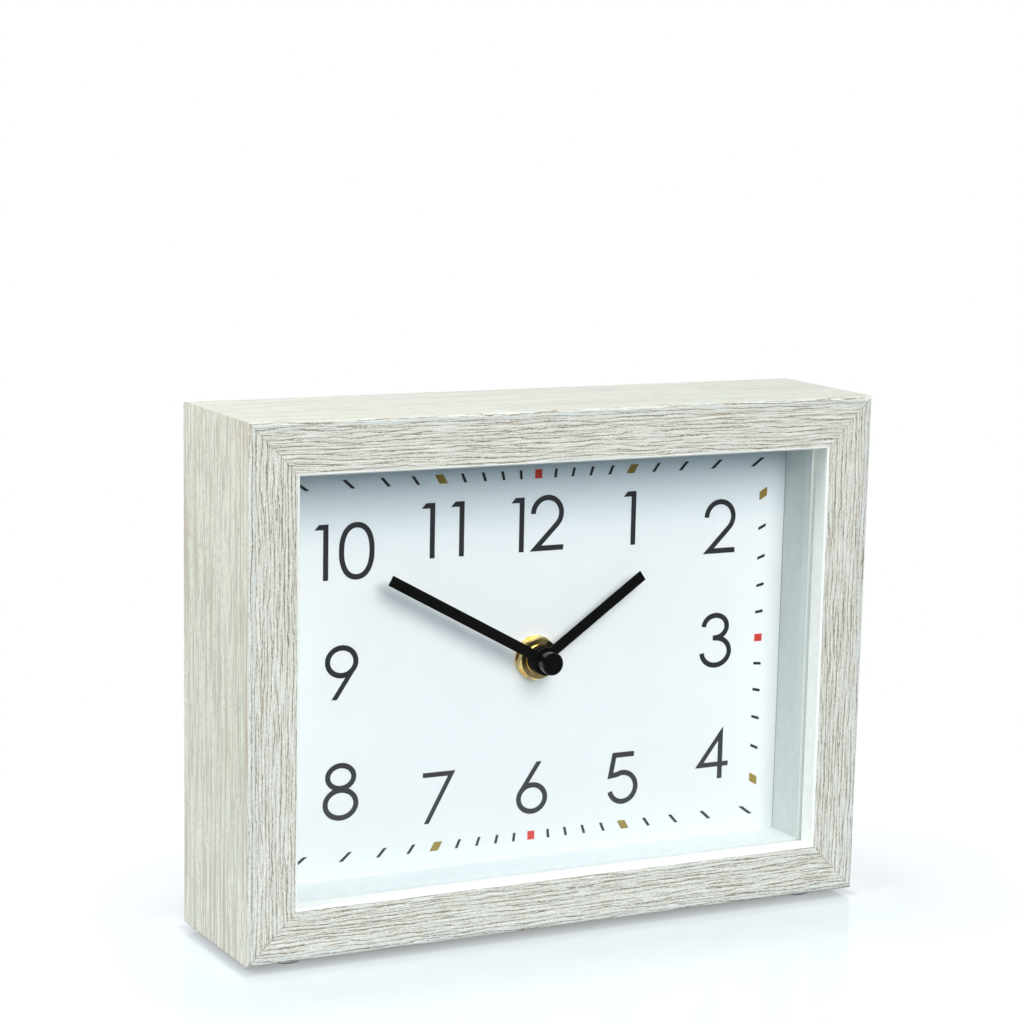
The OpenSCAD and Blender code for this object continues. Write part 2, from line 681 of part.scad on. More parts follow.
// Wheel and pinion moulded on one arbor
module train_wheel(p, teeth, wheel_m, wheel_phase, wheel_y, pinion_teeth, pinion_m, pinion_phase, pinion_y)
    color(nylon_c) at_hub() {
        train_arbor(p);
        gear(p, teeth, wheel_m, wheel_phase, wheel_y, wheel_t);
        gear(p, pinion_teeth, pinion_m, pinion_phase, pinion_y - pinion_over, wheel_t + 2 * pinion_over);
    }
module third_wheel() train_wheel(third_p, third_teeth, train_module, 0, third_layer, third_pinion_teeth,
    centre_module, mesh_phase(third_line, 0, centre_teeth, third_pinion_teeth), centre_layer);
module seconds_wheel() train_wheel(seconds_p, seconds_teeth, train_module, 0, seconds_layer, seconds_pinion_teeth,
    train_module, mesh_phase(seconds_line, 0, third_teeth, seconds_pinion_teeth), third_layer);
module fifth_wheel() train_wheel(fifth_p, fifth_teeth, train_module, 0, fifth_layer, fifth_pinion_teeth,
    train_module, mesh_phase(fifth_line, 0, seconds_teeth, fifth_pinion_teeth), seconds_layer);

stator_t = 0.8;
magnet_r = 2.2;
magnet_h = 2;
magnet_y = stator_layer + stator_t / 2 - magnet_h / 2;
module rotor() color("#3b3d42") at_hub() {
    train_arbor(rotor_p);
    bar_y(magnet_r, magnet_y, magnet_y + magnet_h, rotor_p);
    gear(rotor_p, rotor_teeth, train_module, mesh_phase(rotor_line, 0, fifth_teeth, rotor_teeth),
         fifth_layer - pinion_over, wheel_t + 2 * pinion_over);
}

// Motor

bobbin_r = 3.2;
barrel_r = 1.9;
bobbin_flange = 0.8;
winding_r = 2.9;
coil_gap = 0.4;
coil_l = 20.2;
coil_low = -1.2;
coil_z = [coil_low, coil_low + coil_l];
stator_gap = 0.4;
stator_rim = 1.1;
arm_h = 3;
core_w = 2.4;
pillar_r = 1.2;
pillar_pin_r = 0.7;
hole_r = magnet_r + stator_gap;
arm_z = [coil_z[0] - coil_gap - arm_h, coil_z[1] + coil_gap];
stator_left = rotor_p[0] - hole_r - stator_rim;
stator_right = rotor_p[0] + hole_r + stator_rim;
coil_x = stator_right + coil_gap + bobbin_r;
// The stator keeps clear of the setting shaft
shaft_clear = 0.9;
leg_left = set_p[0] + arbor_r + shaft_clear;
leg_top = rotor_p[1] - hole_r - stator_rim - arm_h;
pillar_p = [[leg_left + arm_h / 2, arm_z[0] + arm_h / 2], [stator_left + arm_h / 2, arm_z[1] + arm_h / 2]];
module stator() color(steel_c) at_hub() slab(stator_layer, stator_layer + stator_t) difference() {
    polygon([[leg_left, arm_z[0]], [coil_x + core_w / 2, arm_z[0]], [coil_x + core_w / 2, arm_z[0] + arm_h],
             [stator_right, arm_z[0] + arm_h], [stator_right, arm_z[1]], [coil_x + core_w / 2, arm_z[1]],
             [coil_x + core_w / 2, arm_z[1] + arm_h], [stator_left, arm_z[1] + arm_h],
             [stator_left, leg_top], [leg_left, leg_top]]);
    translate(rotor_p) circle(hole_r);
    for (p = pillar_p) translate(p) circle(pillar_pin_r);
}
core_y = stator_layer - stator_t;
module coil_core() color(steel_c) at_hub()
    block([coil_x - core_w / 2, core_y, arm_z[0]], [coil_x + core_w / 2, stator_layer, arm_z[1] + arm_h]);
coil_y = stator_layer - stator_t / 2;
// Round piece along Z on the coil's axis
module on_coil(r, z0, z1) translate([coil_x, coil_y, z0]) cylinder(h = z1 - z0, r = r);
module coil_bobbin() color(nylon_c) at_hub() difference() {
    union() {
        on_coil(barrel_r, coil_z[0], coil_z[1]);
        on_coil(bobbin_r, coil_z[0], coil_z[0] + bobbin_flange);
        on_coil(bobbin_r, coil_z[1] - bobbin_flange, coil_z[1]);
    }
    block([coil_x - core_w / 2, core_y, coil_z[0] - cut], [coil_x + core_w / 2, stator_layer, coil_z[1] + cut]);
}
module coil_winding() color(copper_c) at_hub() difference() {
    on_coil(winding_r, coil_z[0] + bobbin_flange, coil_z[1] - bobbin_flange);
    on_coil(barrel_r, coil_z[0], coil_z[1]);
}

// Battery bay, under a partition that clears the hour wheel

battery_r = battery_d / 2;
battery_gap = 0.2;
battery_end_room = 1.05;
terminal_r = 2.75;
terminal_l = 1;
leaf_t = 0.3;
leaf_slot = 0.1;
leaf_gap = 0.15;
dimple_r = 3;
dimple_h = 0.4;
nub_gap = 0.25;
partition_t = 1.2;
partition_gap = 0.64;
partition_top = -hour_module * (hour_teeth / 2 + add_share) - partition_gap;
partition_z = partition_top - partition_t;
battery_y = flange_y + battery_gap + battery_r;
battery_z = partition_z - 2 * battery_gap - battery_r;
inner_w = max(coil_x + bobbin_r + coil_gap, battery_l / 2 + terminal_l + battery_end_room);
battery_x = leaf_slot + leaf_t + dimple_h + nub_gap + terminal_l - inner_w;

// Movement shell, cover and gear plate

side_wall = 1.2;
half_shell = inner_w + side_wall;
post_r = 1.6;
post_pin_r = 0.8;
post_in = 0.4;
plate_in = 0.7;
plate_foot = 0.6;
ear_gap = 2.4;
plate_left = third_p[0] - train_module * third_teeth / 2 - plate_in;
plate_right = stator_right;
plate_ear = inner_w - ear_gap;
plate_low = partition_top + plate_foot;
plate_ear_z = plate_low + 2 * (post_r + post_in);
plate_top = arm_z[1] + arm_h + plate_in;
top_gap = 3.7;
inner_low = battery_z - battery_r - 2 * battery_gap;
inner_high = plate_top + top_gap;
shell_low = inner_low - side_wall;
shell_high = inner_high + side_wall;
post_p = [for (x = [plate_left + post_r + post_in, plate_right - post_r - post_in])
              [x, plate_top - post_r - post_in],
          [plate_left + post_r + post_in, plate_low + post_r + post_in],
          [plate_ear - post_r - post_in, plate_low + post_r + post_in]];
card_gap = 0.5;
card_top_gap = 3.1;
card_w = 11.5;
card_t = 1;
card_post_r = 1.4;
card_pin_r = 0.7;
card_post_in = 4;
card_x = [card_gap - inner_w, card_gap - inner_w + card_w];
card_z = [partition_top + leaf_t, inner_high - card_top_gap];
card_post_p = [for (z = [card_z[0] + card_post_in, card_z[1] - card_post_in]) [(card_x[0] + card_x[1]) / 2, z]];
rim_t = 0.8;
rim_l = 1.5;
rim_gap = 0.1;
cover_foot_z = partition_z + partition_t / 2 + rim_gap;
snap_w = 4;
snap_t = 0.7;
snap_l = 5;
snap_share = [0.25, 0.75];
snap_z = [for (s = snap_share) cover_foot_z + s * (shell_high - cover_foot_z)];
snap_gap = 0.1;
leaf_y = [card_layer + leaf_slot, cover_y - rim_l - leaf_slot];

// Outline of the shell, grown by a gap
module shell_outline(gap, r) translate([0, (shell_high + shell_low) / 2])
    rounded(2 * (half_shell + gap), shell_high - shell_low + 2 * gap, r);

// Recesses in the shell's sides that take the cover's snaps
module snap_blocks(gap) for (s = [-1, 1], z = snap_z)
    block([s > 0 ? half_shell - snap_t - gap : -half_shell - cut * sign(gap),
           cover_y - snap_l - gap, z - snap_w / 2 - gap],
          [s > 0 ? half_shell + cut * sign(gap) : -half_shell + snap_t + gap,
           cover_y, z + snap_w / 2 + gap]);

module movement_shell() color(shell_c) at_hub() difference() {
    union() {
        difference() {
            union() {
                slab(shell_y, cover_y) shell_outline(0, shell_r);
                slab(cover_y, shell_back_y) intersection() {
                    shell_outline(0, shell_r);
                    translate([-half_shell, shell_low])
                        square([2 * half_shell, partition_z + partition_t / 2 - shell_low]);
                }
            }
            block([-inner_w, flange_y, partition_top], [inner_w, shell_back_y + cut, inner_high]);
            block([-inner_w, flange_y, inner_low], [inner_w, shell_back_y + cut, partition_z]);
        }
        for (p = post_p) {
            bar_y(post_r, flange_y, plate_y, p);
            bar_y(post_pin_r, plate_y, plate_back_y, p);
        }
        for (p = card_post_p) {
            bar_y(card_post_r, flange_y, card_layer, p);
            bar_y(card_pin_r, card_layer, card_layer + card_t, p);
        }
        bar_y(minute_hub_r, flange_y, set_boss_y, set_p);
    }
    bar_y(board_bore_r, shell_y - cut, flange_y + cut);
    bar_y(rear_r + pivot_gap, flange_y, set_boss_y + cut, set_p);
    snap_blocks(snap_gap);
    for (x = [-inner_w, inner_w - leaf_t - 2 * leaf_slot])
        block([x, leaf_y[0] - leaf_slot, partition_z - cut],
              [x + leaf_t + 2 * leaf_slot, shell_back_y + cut, partition_top + cut]);
}

module movement_cover() color(shell_c) at_hub() difference() {
    union() {
        slab(cover_y, shell_back_y) intersection() {
            shell_outline(0, shell_r);
            translate([-half_shell, cover_foot_z]) square([2 * half_shell, shell_high - cover_foot_z]);
        }
        difference() {
            block([-inner_w + rim_gap, cover_y - rim_l, partition_top + rim_gap],
                  [inner_w - rim_gap, cover_y, inner_high - rim_gap]);
            block([-inner_w + rim_gap + rim_t, cover_y - rim_l - cut, partition_top + rim_gap + rim_t],
                  [inner_w - rim_gap - rim_t, cover_y + cut, inner_high - rim_gap - rim_t]);
        }
        snap_blocks(0);
        for (p = [third_p, seconds_p, fifth_p, rotor_p]) bar_y(post_r, boss_y, cover_y, p);
        bar_y(minute_hub_r, boss_y, cover_y);
    }
    for (p = [third_p, seconds_p, fifth_p, rotor_p]) bar_y(pivot_r + pivot_gap, boss_y - cut, cover_y, p);
    bar_y(rear_r + pivot_gap, boss_y - cut, cover_y);
    bar_y(arbor_r + pipe_gap, cover_y - cut, shell_back_y + cut, set_p);
}

// Plate that carries the front pivots and stands on the shell's posts
module gear_plate() color("#c9c7bd") at_hub() difference() {
    union() {
        slab(plate_y, plate_back_y) polygon([[plate_left, plate_low], [plate_ear, plate_low],
            [plate_ear, plate_ear_z], [plate_right, plate_ear_z], [plate_right, plate_top], [plate_left, plate_top]]);
        for (p = pillar_p) {
            bar_y(pillar_r, plate_back_y, stator_layer, p);
            bar_y(pillar_pin_r, stator_layer, stator_layer + stator_t, p);
        }
    }
    for (p = post_p) bar_y(post_pin_r, plate_y - cut, plate_back_y + cut, p);
    for (p = [third_p, seconds_p, fifth_p, rotor_p]) bar_y(pivot_r + pivot_gap, plate_y - cut, plate_back_y + cut, p);
    bar_y(rear_r + pivot_gap, plate_y - cut, plate_back_y + cut);
    bar_y(arbor_r + pipe_gap, plate_y - cut, plate_back_y + cut, set_p);
}

// Electronics

module circuit_board() color("#2f6b3c") at_hub() difference() {
    block([card_x[0], card_layer, card_z[0]], [card_x[1], card_layer + card_t, card_z[1]]);
    for (p = card_post_p) bar_y(card_pin_r, card_layer - cut, card_layer + card_t + cut, p);
}
// Point on the circuit board from its lower left corner, in shares of its size
function on_card(share) = [card_x[0] + share[0] * card_w, card_z[0] + share[1] * (card_z[1] - card_z[0])];
crystal_r = 1;
crystal_l = 6;
crystal_share = [0.25, 0.57];
crystal_p = on_card(crystal_share);
module crystal() color(steel_c) at_hub()
    translate([crystal_p[0], card_layer + card_t + crystal_r, crystal_p[1]]) cylinder(h = crystal_l, r = crystal_r);
chip_r = 3.4;
chip_h = 1.5;
chip_share = [0.62, 0.4];
chip_p = on_card(chip_share);
chip_ball_r = (chip_r * chip_r + chip_h * chip_h) / 2 / chip_h;
chip_steps = 8;
chip_sweep = asin(chip_r / chip_ball_r);
module chip() color(black_c) at_hub() turned_y(concat([[0, card_layer + card_t]],
    [for (i = [0:chip_steps]) let (a = chip_sweep * (1 - i / chip_steps))
        [chip_ball_r * sin(a), card_layer + card_t + chip_h - chip_ball_r * (1 - cos(a))]]), chip_p);

// Contacts: bent from springy strip, up past the partition to the circuit board
contact_w = 8;
tab_h = 3;
module positive_contact() color(steel_c) at_hub() {
    x = leaf_slot - inner_w;
    block([x, battery_y - contact_w / 2, battery_z - contact_w / 2],
          [x + leaf_t, battery_y + contact_w / 2, battery_z + contact_w / 2]);
    block([x, leaf_y[0], battery_z], [x + leaf_t, battery_y + contact_w / 2, card_z[0] + tab_h]);
    block([x, leaf_y[0], card_z[0]], [card_x[0], battery_y + contact_w / 2, card_z[0] + tab_h]);
    translate([x + leaf_t, battery_y, battery_z]) rotate([0, 90, 0]) cylinder(h = dimple_h, r = dimple_r);
}
leaf_reach = inner_w - leaf_slot - leaf_t - battery_x - battery_l - leaf_gap;
leaf_flat = 0.6;
leaf_front_y = battery_y - battery_r + leaf_t;
tab_w = 4;
module negative_contact() color(steel_c) at_hub() {
    x = inner_w - leaf_slot - leaf_t;
    translate([0, 0, battery_z - contact_w / 2]) linear_extrude(contact_w)
        polygon(band([[x + leaf_t / 2, leaf_y[1]], [x + leaf_t / 2, leaf_front_y],
                      [x + leaf_t / 2 - leaf_flat, leaf_front_y], [x + leaf_t / 2 - leaf_reach, battery_y]], leaf_t));
    block([x, leaf_y[0], battery_z], [x + leaf_t, leaf_y[1], partition_top + leaf_t]);
    block([card_x[1] - tab_w, leaf_y[0], partition_top], [x + leaf_t, leaf_y[1], partition_top + leaf_t]);
}

module battery() color("#5c6064") at_hub() translate([battery_x, battery_y, battery_z]) rotate([0, 90, 0]) {
    cylinder(h = battery_l, r = battery_r);
    translate([0, 0, -terminal_l]) cylinder(h = terminal_l, r = terminal_r);
}

top_rail();
bottom_rail();
left_stile();
right_stile();
top_sight_strip();
bottom_sight_strip();
left_sight_strip();
right_sight_strip();
corner_wedges();
glass();
top_spacer();
bottom_spacer();
left_spacer();
right_spacer();
dial_sheet();
dial_numerals();
minute_marks();
quarter_marks();
hour_marks();
dial_board();
board_points();
back_board();
back_pins();
foot_pads();
hour_hand();
hour_collet();
minute_hand();
minute_collet();
cap_nut();
hex_nut();
brass_washer();
threaded_bush();
rubber_washer();
movement_shell();
movement_cover();
gear_plate();
hour_wheel();
minute_arbor();
minute_wheel();
setting_knob();
centre_wheel();
third_wheel();
seconds_wheel();
fifth_wheel();
rotor();
stator();
coil_core();
coil_bobbin();
coil_winding();
circuit_board();
crystal();
chip();
positive_contact();
negative_contact();
battery();
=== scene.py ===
"""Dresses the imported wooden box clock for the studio: finishes, small moulded pieces, lights and camera.

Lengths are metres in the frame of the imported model: X runs right seen from the front, Y runs back, Z runs up.
"""

import logging
import math
from dataclasses import dataclass, field, replace
from enum import Enum
from typing import Iterable, Sequence

import bmesh
import bpy
from mathutils import Matrix, Vector


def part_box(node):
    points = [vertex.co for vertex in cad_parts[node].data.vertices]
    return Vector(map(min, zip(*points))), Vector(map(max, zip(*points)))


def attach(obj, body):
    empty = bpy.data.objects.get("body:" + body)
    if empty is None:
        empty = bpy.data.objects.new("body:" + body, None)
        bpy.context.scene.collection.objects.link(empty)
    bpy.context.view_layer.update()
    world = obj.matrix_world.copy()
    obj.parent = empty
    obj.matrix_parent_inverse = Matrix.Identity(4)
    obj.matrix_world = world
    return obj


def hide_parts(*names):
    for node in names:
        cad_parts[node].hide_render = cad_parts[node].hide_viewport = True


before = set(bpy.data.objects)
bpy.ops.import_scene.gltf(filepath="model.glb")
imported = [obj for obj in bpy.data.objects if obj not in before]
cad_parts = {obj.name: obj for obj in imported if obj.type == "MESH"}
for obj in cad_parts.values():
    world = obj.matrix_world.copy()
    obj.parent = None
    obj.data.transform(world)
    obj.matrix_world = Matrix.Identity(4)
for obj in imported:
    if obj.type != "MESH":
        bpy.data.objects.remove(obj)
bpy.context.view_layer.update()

MM = 0.001
WELD = 0.001 * MM
LOG = logging.getLogger("box_clock")

Colour = tuple[float, float, float]
Pair = tuple[float, float]
Socket = bpy.types.NodeSocket

# Parts of a noise's range that a finish spreads over its two colours or its roughness
WIDE: Pair = (0.2, 0.8)
MIDDLE: Pair = (0.3, 0.7)
NARROW: Pair = (0.35, 0.65)
RAISED: Pair = (0.35, 0.7)


def srgb(red: int, green: int, blue: int) -> Colour:
    """Turns a colour of 0 to 255 as seen on a screen into linear light.

    Args:
        red: Red from 0 to 255.
        green: Green from 0 to 255.
        blue: Blue from 0 to 255.

    Returns:
        The linear colour.
    """
    shares = (red / 255, green / 255, blue / 255)
    return tuple(share / 12.92 if share <= 0.04045 else ((share + 0.055) / 1.055) ** 2.4 for share in shares)


class Graph:
    """The node tree of one finish, with a short call for each kind of node that the finishes share."""

    def __init__(self, name: str, world: bool = False) -> None:
        """Starts an empty tree.

        Args:
            name: Name of the material.
            world: Whether the tree is the surroundings, where the place is the direction of a ray.
        """
        self.world = world
        self.material = (bpy.data.worlds if world else bpy.data.materials).new(name)
        self.material.use_nodes = True
        self.tree = self.material.node_tree
        self.tree.nodes.clear()
        self.place = self.add("ShaderNodeTexCoord").outputs["Generated" if world else "Object"]

    def add(self, kind: str, **settings: object) -> bpy.types.Node:
        """Adds a node and sets its properties.

        Args:
            kind: Type name of the node.
            **settings: Properties of the node.

        Returns:
            The node.
        """
        node = self.tree.nodes.new(kind)
        for key, value in settings.items():
            setattr(node, key, value)
        return node

    def feed(self, socket: Socket, value: object) -> None:
        """Links a socket, or sets its plain value.

        Args:
            socket: The input to feed.
            value: Another node's output, a number, a colour or a vector.
        """
        if isinstance(value, bpy.types.NodeSocket):
            self.tree.links.new(value, socket)
        elif isinstance(value, tuple) and socket.type == "RGBA":
            socket.default_value = (*value, 1.0)
        else:
            socket.default_value = value

    def math(self, operation: str, *values: object, clamp: bool = False) -> Socket:
        """Adds a sum of one, two or three values.

        Args:
            operation: Name of the operation.
            *values: Numbers or outputs.
            clamp: Whether the result is kept between 0 and 1.

        Returns:
            The result.
        """
        node = self.add("ShaderNodeMath", operation=operation, use_clamp=clamp)
        for socket, value in zip(node.inputs, values):
            self.feed(socket, value)
        return node.outputs[0]

    def times(self, first: object, second: object) -> Socket:
        """Returns the product of two values."""
        return self.math("MULTIPLY", first, second)

    def plus(self, first: object, second: object) -> Socket:
        """Returns the sum of two values."""
        return self.math("ADD", first, second)

    def minus(self, first: object, second: object) -> Socket:
        """Returns the first value less the second."""
        return self.math("SUBTRACT", first, second)

    def over(self, first: object, second: object) -> Socket:
        """Returns the first value divided by the second."""
        return self.math("DIVIDE", first, second)

    def most(self, first: object, second: object) -> Socket:
        """Returns the greater of two values."""
        return self.math("MAXIMUM", first, second)

    def rest(self, value: object) -> Socket:
        """Returns what a value leaves of 1, and at least 0."""
        return self.math("SUBTRACT", 1.0, value, clamp=True)

    def length(self, first: Socket, second: Socket) -> Socket:
        """Returns the long side of a right angle with two short sides."""
        return self.math("SQRT", self.plus(self.times(first, first), self.times(second, second)))

    def size(self, value: object) -> Socket:
        """Returns a value without its sign."""
        return self.math("ABSOLUTE", value)

    def inset(self, half_w: float, half_h: float, middle_z: float) -> tuple[Socket, Socket]:
        """Tells how far in from the edges of an upright rectangle the place is.

        Args:
            half_w: Half the width of the rectangle.
            half_h: Half its height.
            middle_z: Height of its middle.

        Returns:
            Distance to the nearer side, and to the nearer of top and bottom.
        """
        x, _, z = self.split(self.place)
        return self.minus(half_w, self.size(x)), self.minus(half_h, self.size(self.minus(z, middle_z)))

    def split(self, vector: Socket) -> tuple[Socket, Socket, Socket]:
        """Takes a vector apart.

        Args:
            vector: The vector.

        Returns:
            Its parts along X, Y and Z.
        """
        node = self.add("ShaderNodeSeparateXYZ")
        self.feed(node.inputs[0], vector)
        return node.outputs[0], node.outputs[1], node.outputs[2]

    def join(self, x: object, y: object, z: object) -> Socket:
        """Makes a vector.

        Args:
            x: Part along X.
            y: Part along Y.
            z: Part along Z.

        Returns:
            The vector.
        """
        node = self.add("ShaderNodeCombineXYZ")
        for socket, value in zip(node.inputs, (x, y, z)):
            self.feed(socket, value)
        return node.outputs[0]

    def moved(self, sizes: Sequence[float], offset: Sequence[float]) -> Socket:
        """Gives the place on the object in multiples of a pattern's sizes, from an offset on.

        Args:
            sizes: Size of the pattern along X, Y and Z.
            offset: Place in the pattern where the object's origin falls.

        Returns:
            The scaled place.
        """
        node = self.add("ShaderNodeMapping")
        self.feed(node.inputs["Vector"], self.place)
        node.inputs["Scale"].default_value = tuple(1 / size for size in sizes)
        node.inputs["Location"].default_value = offset
        return node.outputs[0]

    def scaled(self, sizes: Sequence[float], seed: float = 0.0) -> Socket:
        """Returns the place in multiples of a pattern's sizes, somewhere in the pattern by a seed."""
        return self.moved(sizes, (seed, 0.7 * seed, 1.3 * seed))

    def noise(self, vector: Socket, detail: float = 2.0, roughness: float = 0.5) -> Socket:
        """Adds soft noise.

        Args:
            vector: The scaled place.
            detail: How many finer layers lie on the noise.
            roughness: How strong the finer layers are.

        Returns:
            The noise, from 0 to 1.
        """
        node = self.add("ShaderNodeTexNoise")
        self.feed(node.inputs["Vector"], vector)
        node.inputs["Scale"].default_value = 1.0
        node.inputs["Detail"].default_value = detail
        node.inputs["Roughness"].default_value = roughness
        return node.outputs["Fac"]

    def clouds(self, size: float, detail: float = 2.0, roughness: float = 0.5, seed: float = 0.0) -> Socket:
        """Returns soft noise whose clouds have one size every way."""
        return self.noise(self.scaled((size,) * 3, seed), detail, roughness)

    def cells(self, vector: Socket, feature: str = "DISTANCE_TO_EDGE") -> Socket:
        """Covers the surface with cells.

        Args:
            vector: The scaled place.
            feature: Name of what is measured, by itself the distance to the border of a cell.

        Returns:
            The distance.
        """
        node = self.add("ShaderNodeTexVoronoi", feature=feature)
        self.feed(node.inputs["Vector"], vector)
        node.inputs["Scale"].default_value = 1.0
        return node.outputs["Distance"]

    def span(self, value: Socket, low: float, high: float, start: float = 0.0, end: float = 1.0) -> Socket:
        """Maps a range of a value smoothly onto another.

        Args:
            value: The value.
            low: Where the range starts.
            high: Where the range ends.
            start: Result at the start.
            end: Result at the end.

        Returns:
            The mapped value.
        """
        node = self.add("ShaderNodeMapRange", interpolation_type="SMOOTHSTEP")
        for name, number in (("From Min", low), ("From Max", high), ("To Min", start), ("To Max", end)):
            node.inputs[name].default_value = number
        self.feed(node.inputs["Value"], value)
        return node.outputs["Result"]

    def mix(self, share: object, first: object, second: object) -> Socket:
        """Mixes two colours.

        Args:
            share: Share of the second.
            first: The first colour.
            second: The second colour.

        Returns:
            The mixed colour.
        """
        node = self.add("ShaderNodeMix", data_type="RGBA")
        self.feed(node.inputs[0], share)
        self.feed(node.inputs[6], first)
        self.feed(node.inputs[7], second)
        return node.outputs[2]

    def bump(self, height: Socket, depth: float) -> Socket:
        """Bends the normal by a relief.

        Args:
            height: Height of the relief, from 0 to 1.
            depth: Depth that the whole height stands for.

        Returns:
            The bent normal.
        """
        node = self.add("ShaderNodeBump")
        node.inputs["Strength"].default_value = 1.0
        node.inputs["Distance"].default_value = depth
        self.feed(node.inputs["Height"], height)
        return node.outputs[0]

    def surface(self, **sockets: object) -> Socket:
        """Adds the main shader.

        Args:
            **sockets: Inputs by name, with underscores for blanks.

        Returns:
            The shader's output.
        """
        node = self.add("ShaderNodeBsdfPrincipled")
        for name, value in sockets.items():
            self.feed(node.inputs[name.replace("_", " ")], value)
        return node.outputs[0]

    def blend(self, share: object, first: Socket, second: Socket) -> Socket:
        """Mixes two shaders.

        Args:
            share: Share of the second.
            first: The first shader.
            second: The second shader.

        Returns:
            The mixed shader.
        """
        node = self.add("ShaderNodeMixShader")
        for socket, value in zip(node.inputs, (share, first, second)):
            self.feed(socket, value)
        return node.outputs[0]

    def close(self, shader: Socket) -> bpy.types.Material | bpy.types.World:
        """Ends the tree.

        Args:
            shader: The shader to show.

        Returns:
            The material or the surroundings.
        """
        end = self.add("ShaderNodeOutputWorld" if self.world else "ShaderNodeOutputMaterial")
        self.feed(end.inputs["Surface"], shader)
        return self.material


@dataclass(frozen=True)
class Finish:
    """What every finish has: a name and a way to be made and given to pieces."""
    name: str

    def shader(self, graph: Graph) -> Socket:
        """Returns the shader of the finish, built in a tree."""
        raise NotImplementedError

    def dress(self, *pieces: bpy.types.Object) -> None:
        """Makes the material once, gives it to whole pieces and reports each.

        Args:
            *pieces: Mesh objects.
        """
        graph = Graph(self.name)
        material = graph.close(self.shader(graph))
        for piece in pieces:
            LOG.info("%s is finished in %s", piece.name, self.name)
            if not piece.material_slots:
                piece.data.materials.append(material)
            for slot in piece.material_slots:
                slot.material = material


class Grain(Enum):
    """Way in which the grain of a rail runs."""
    LEVEL = 0
    UPRIGHT = 2


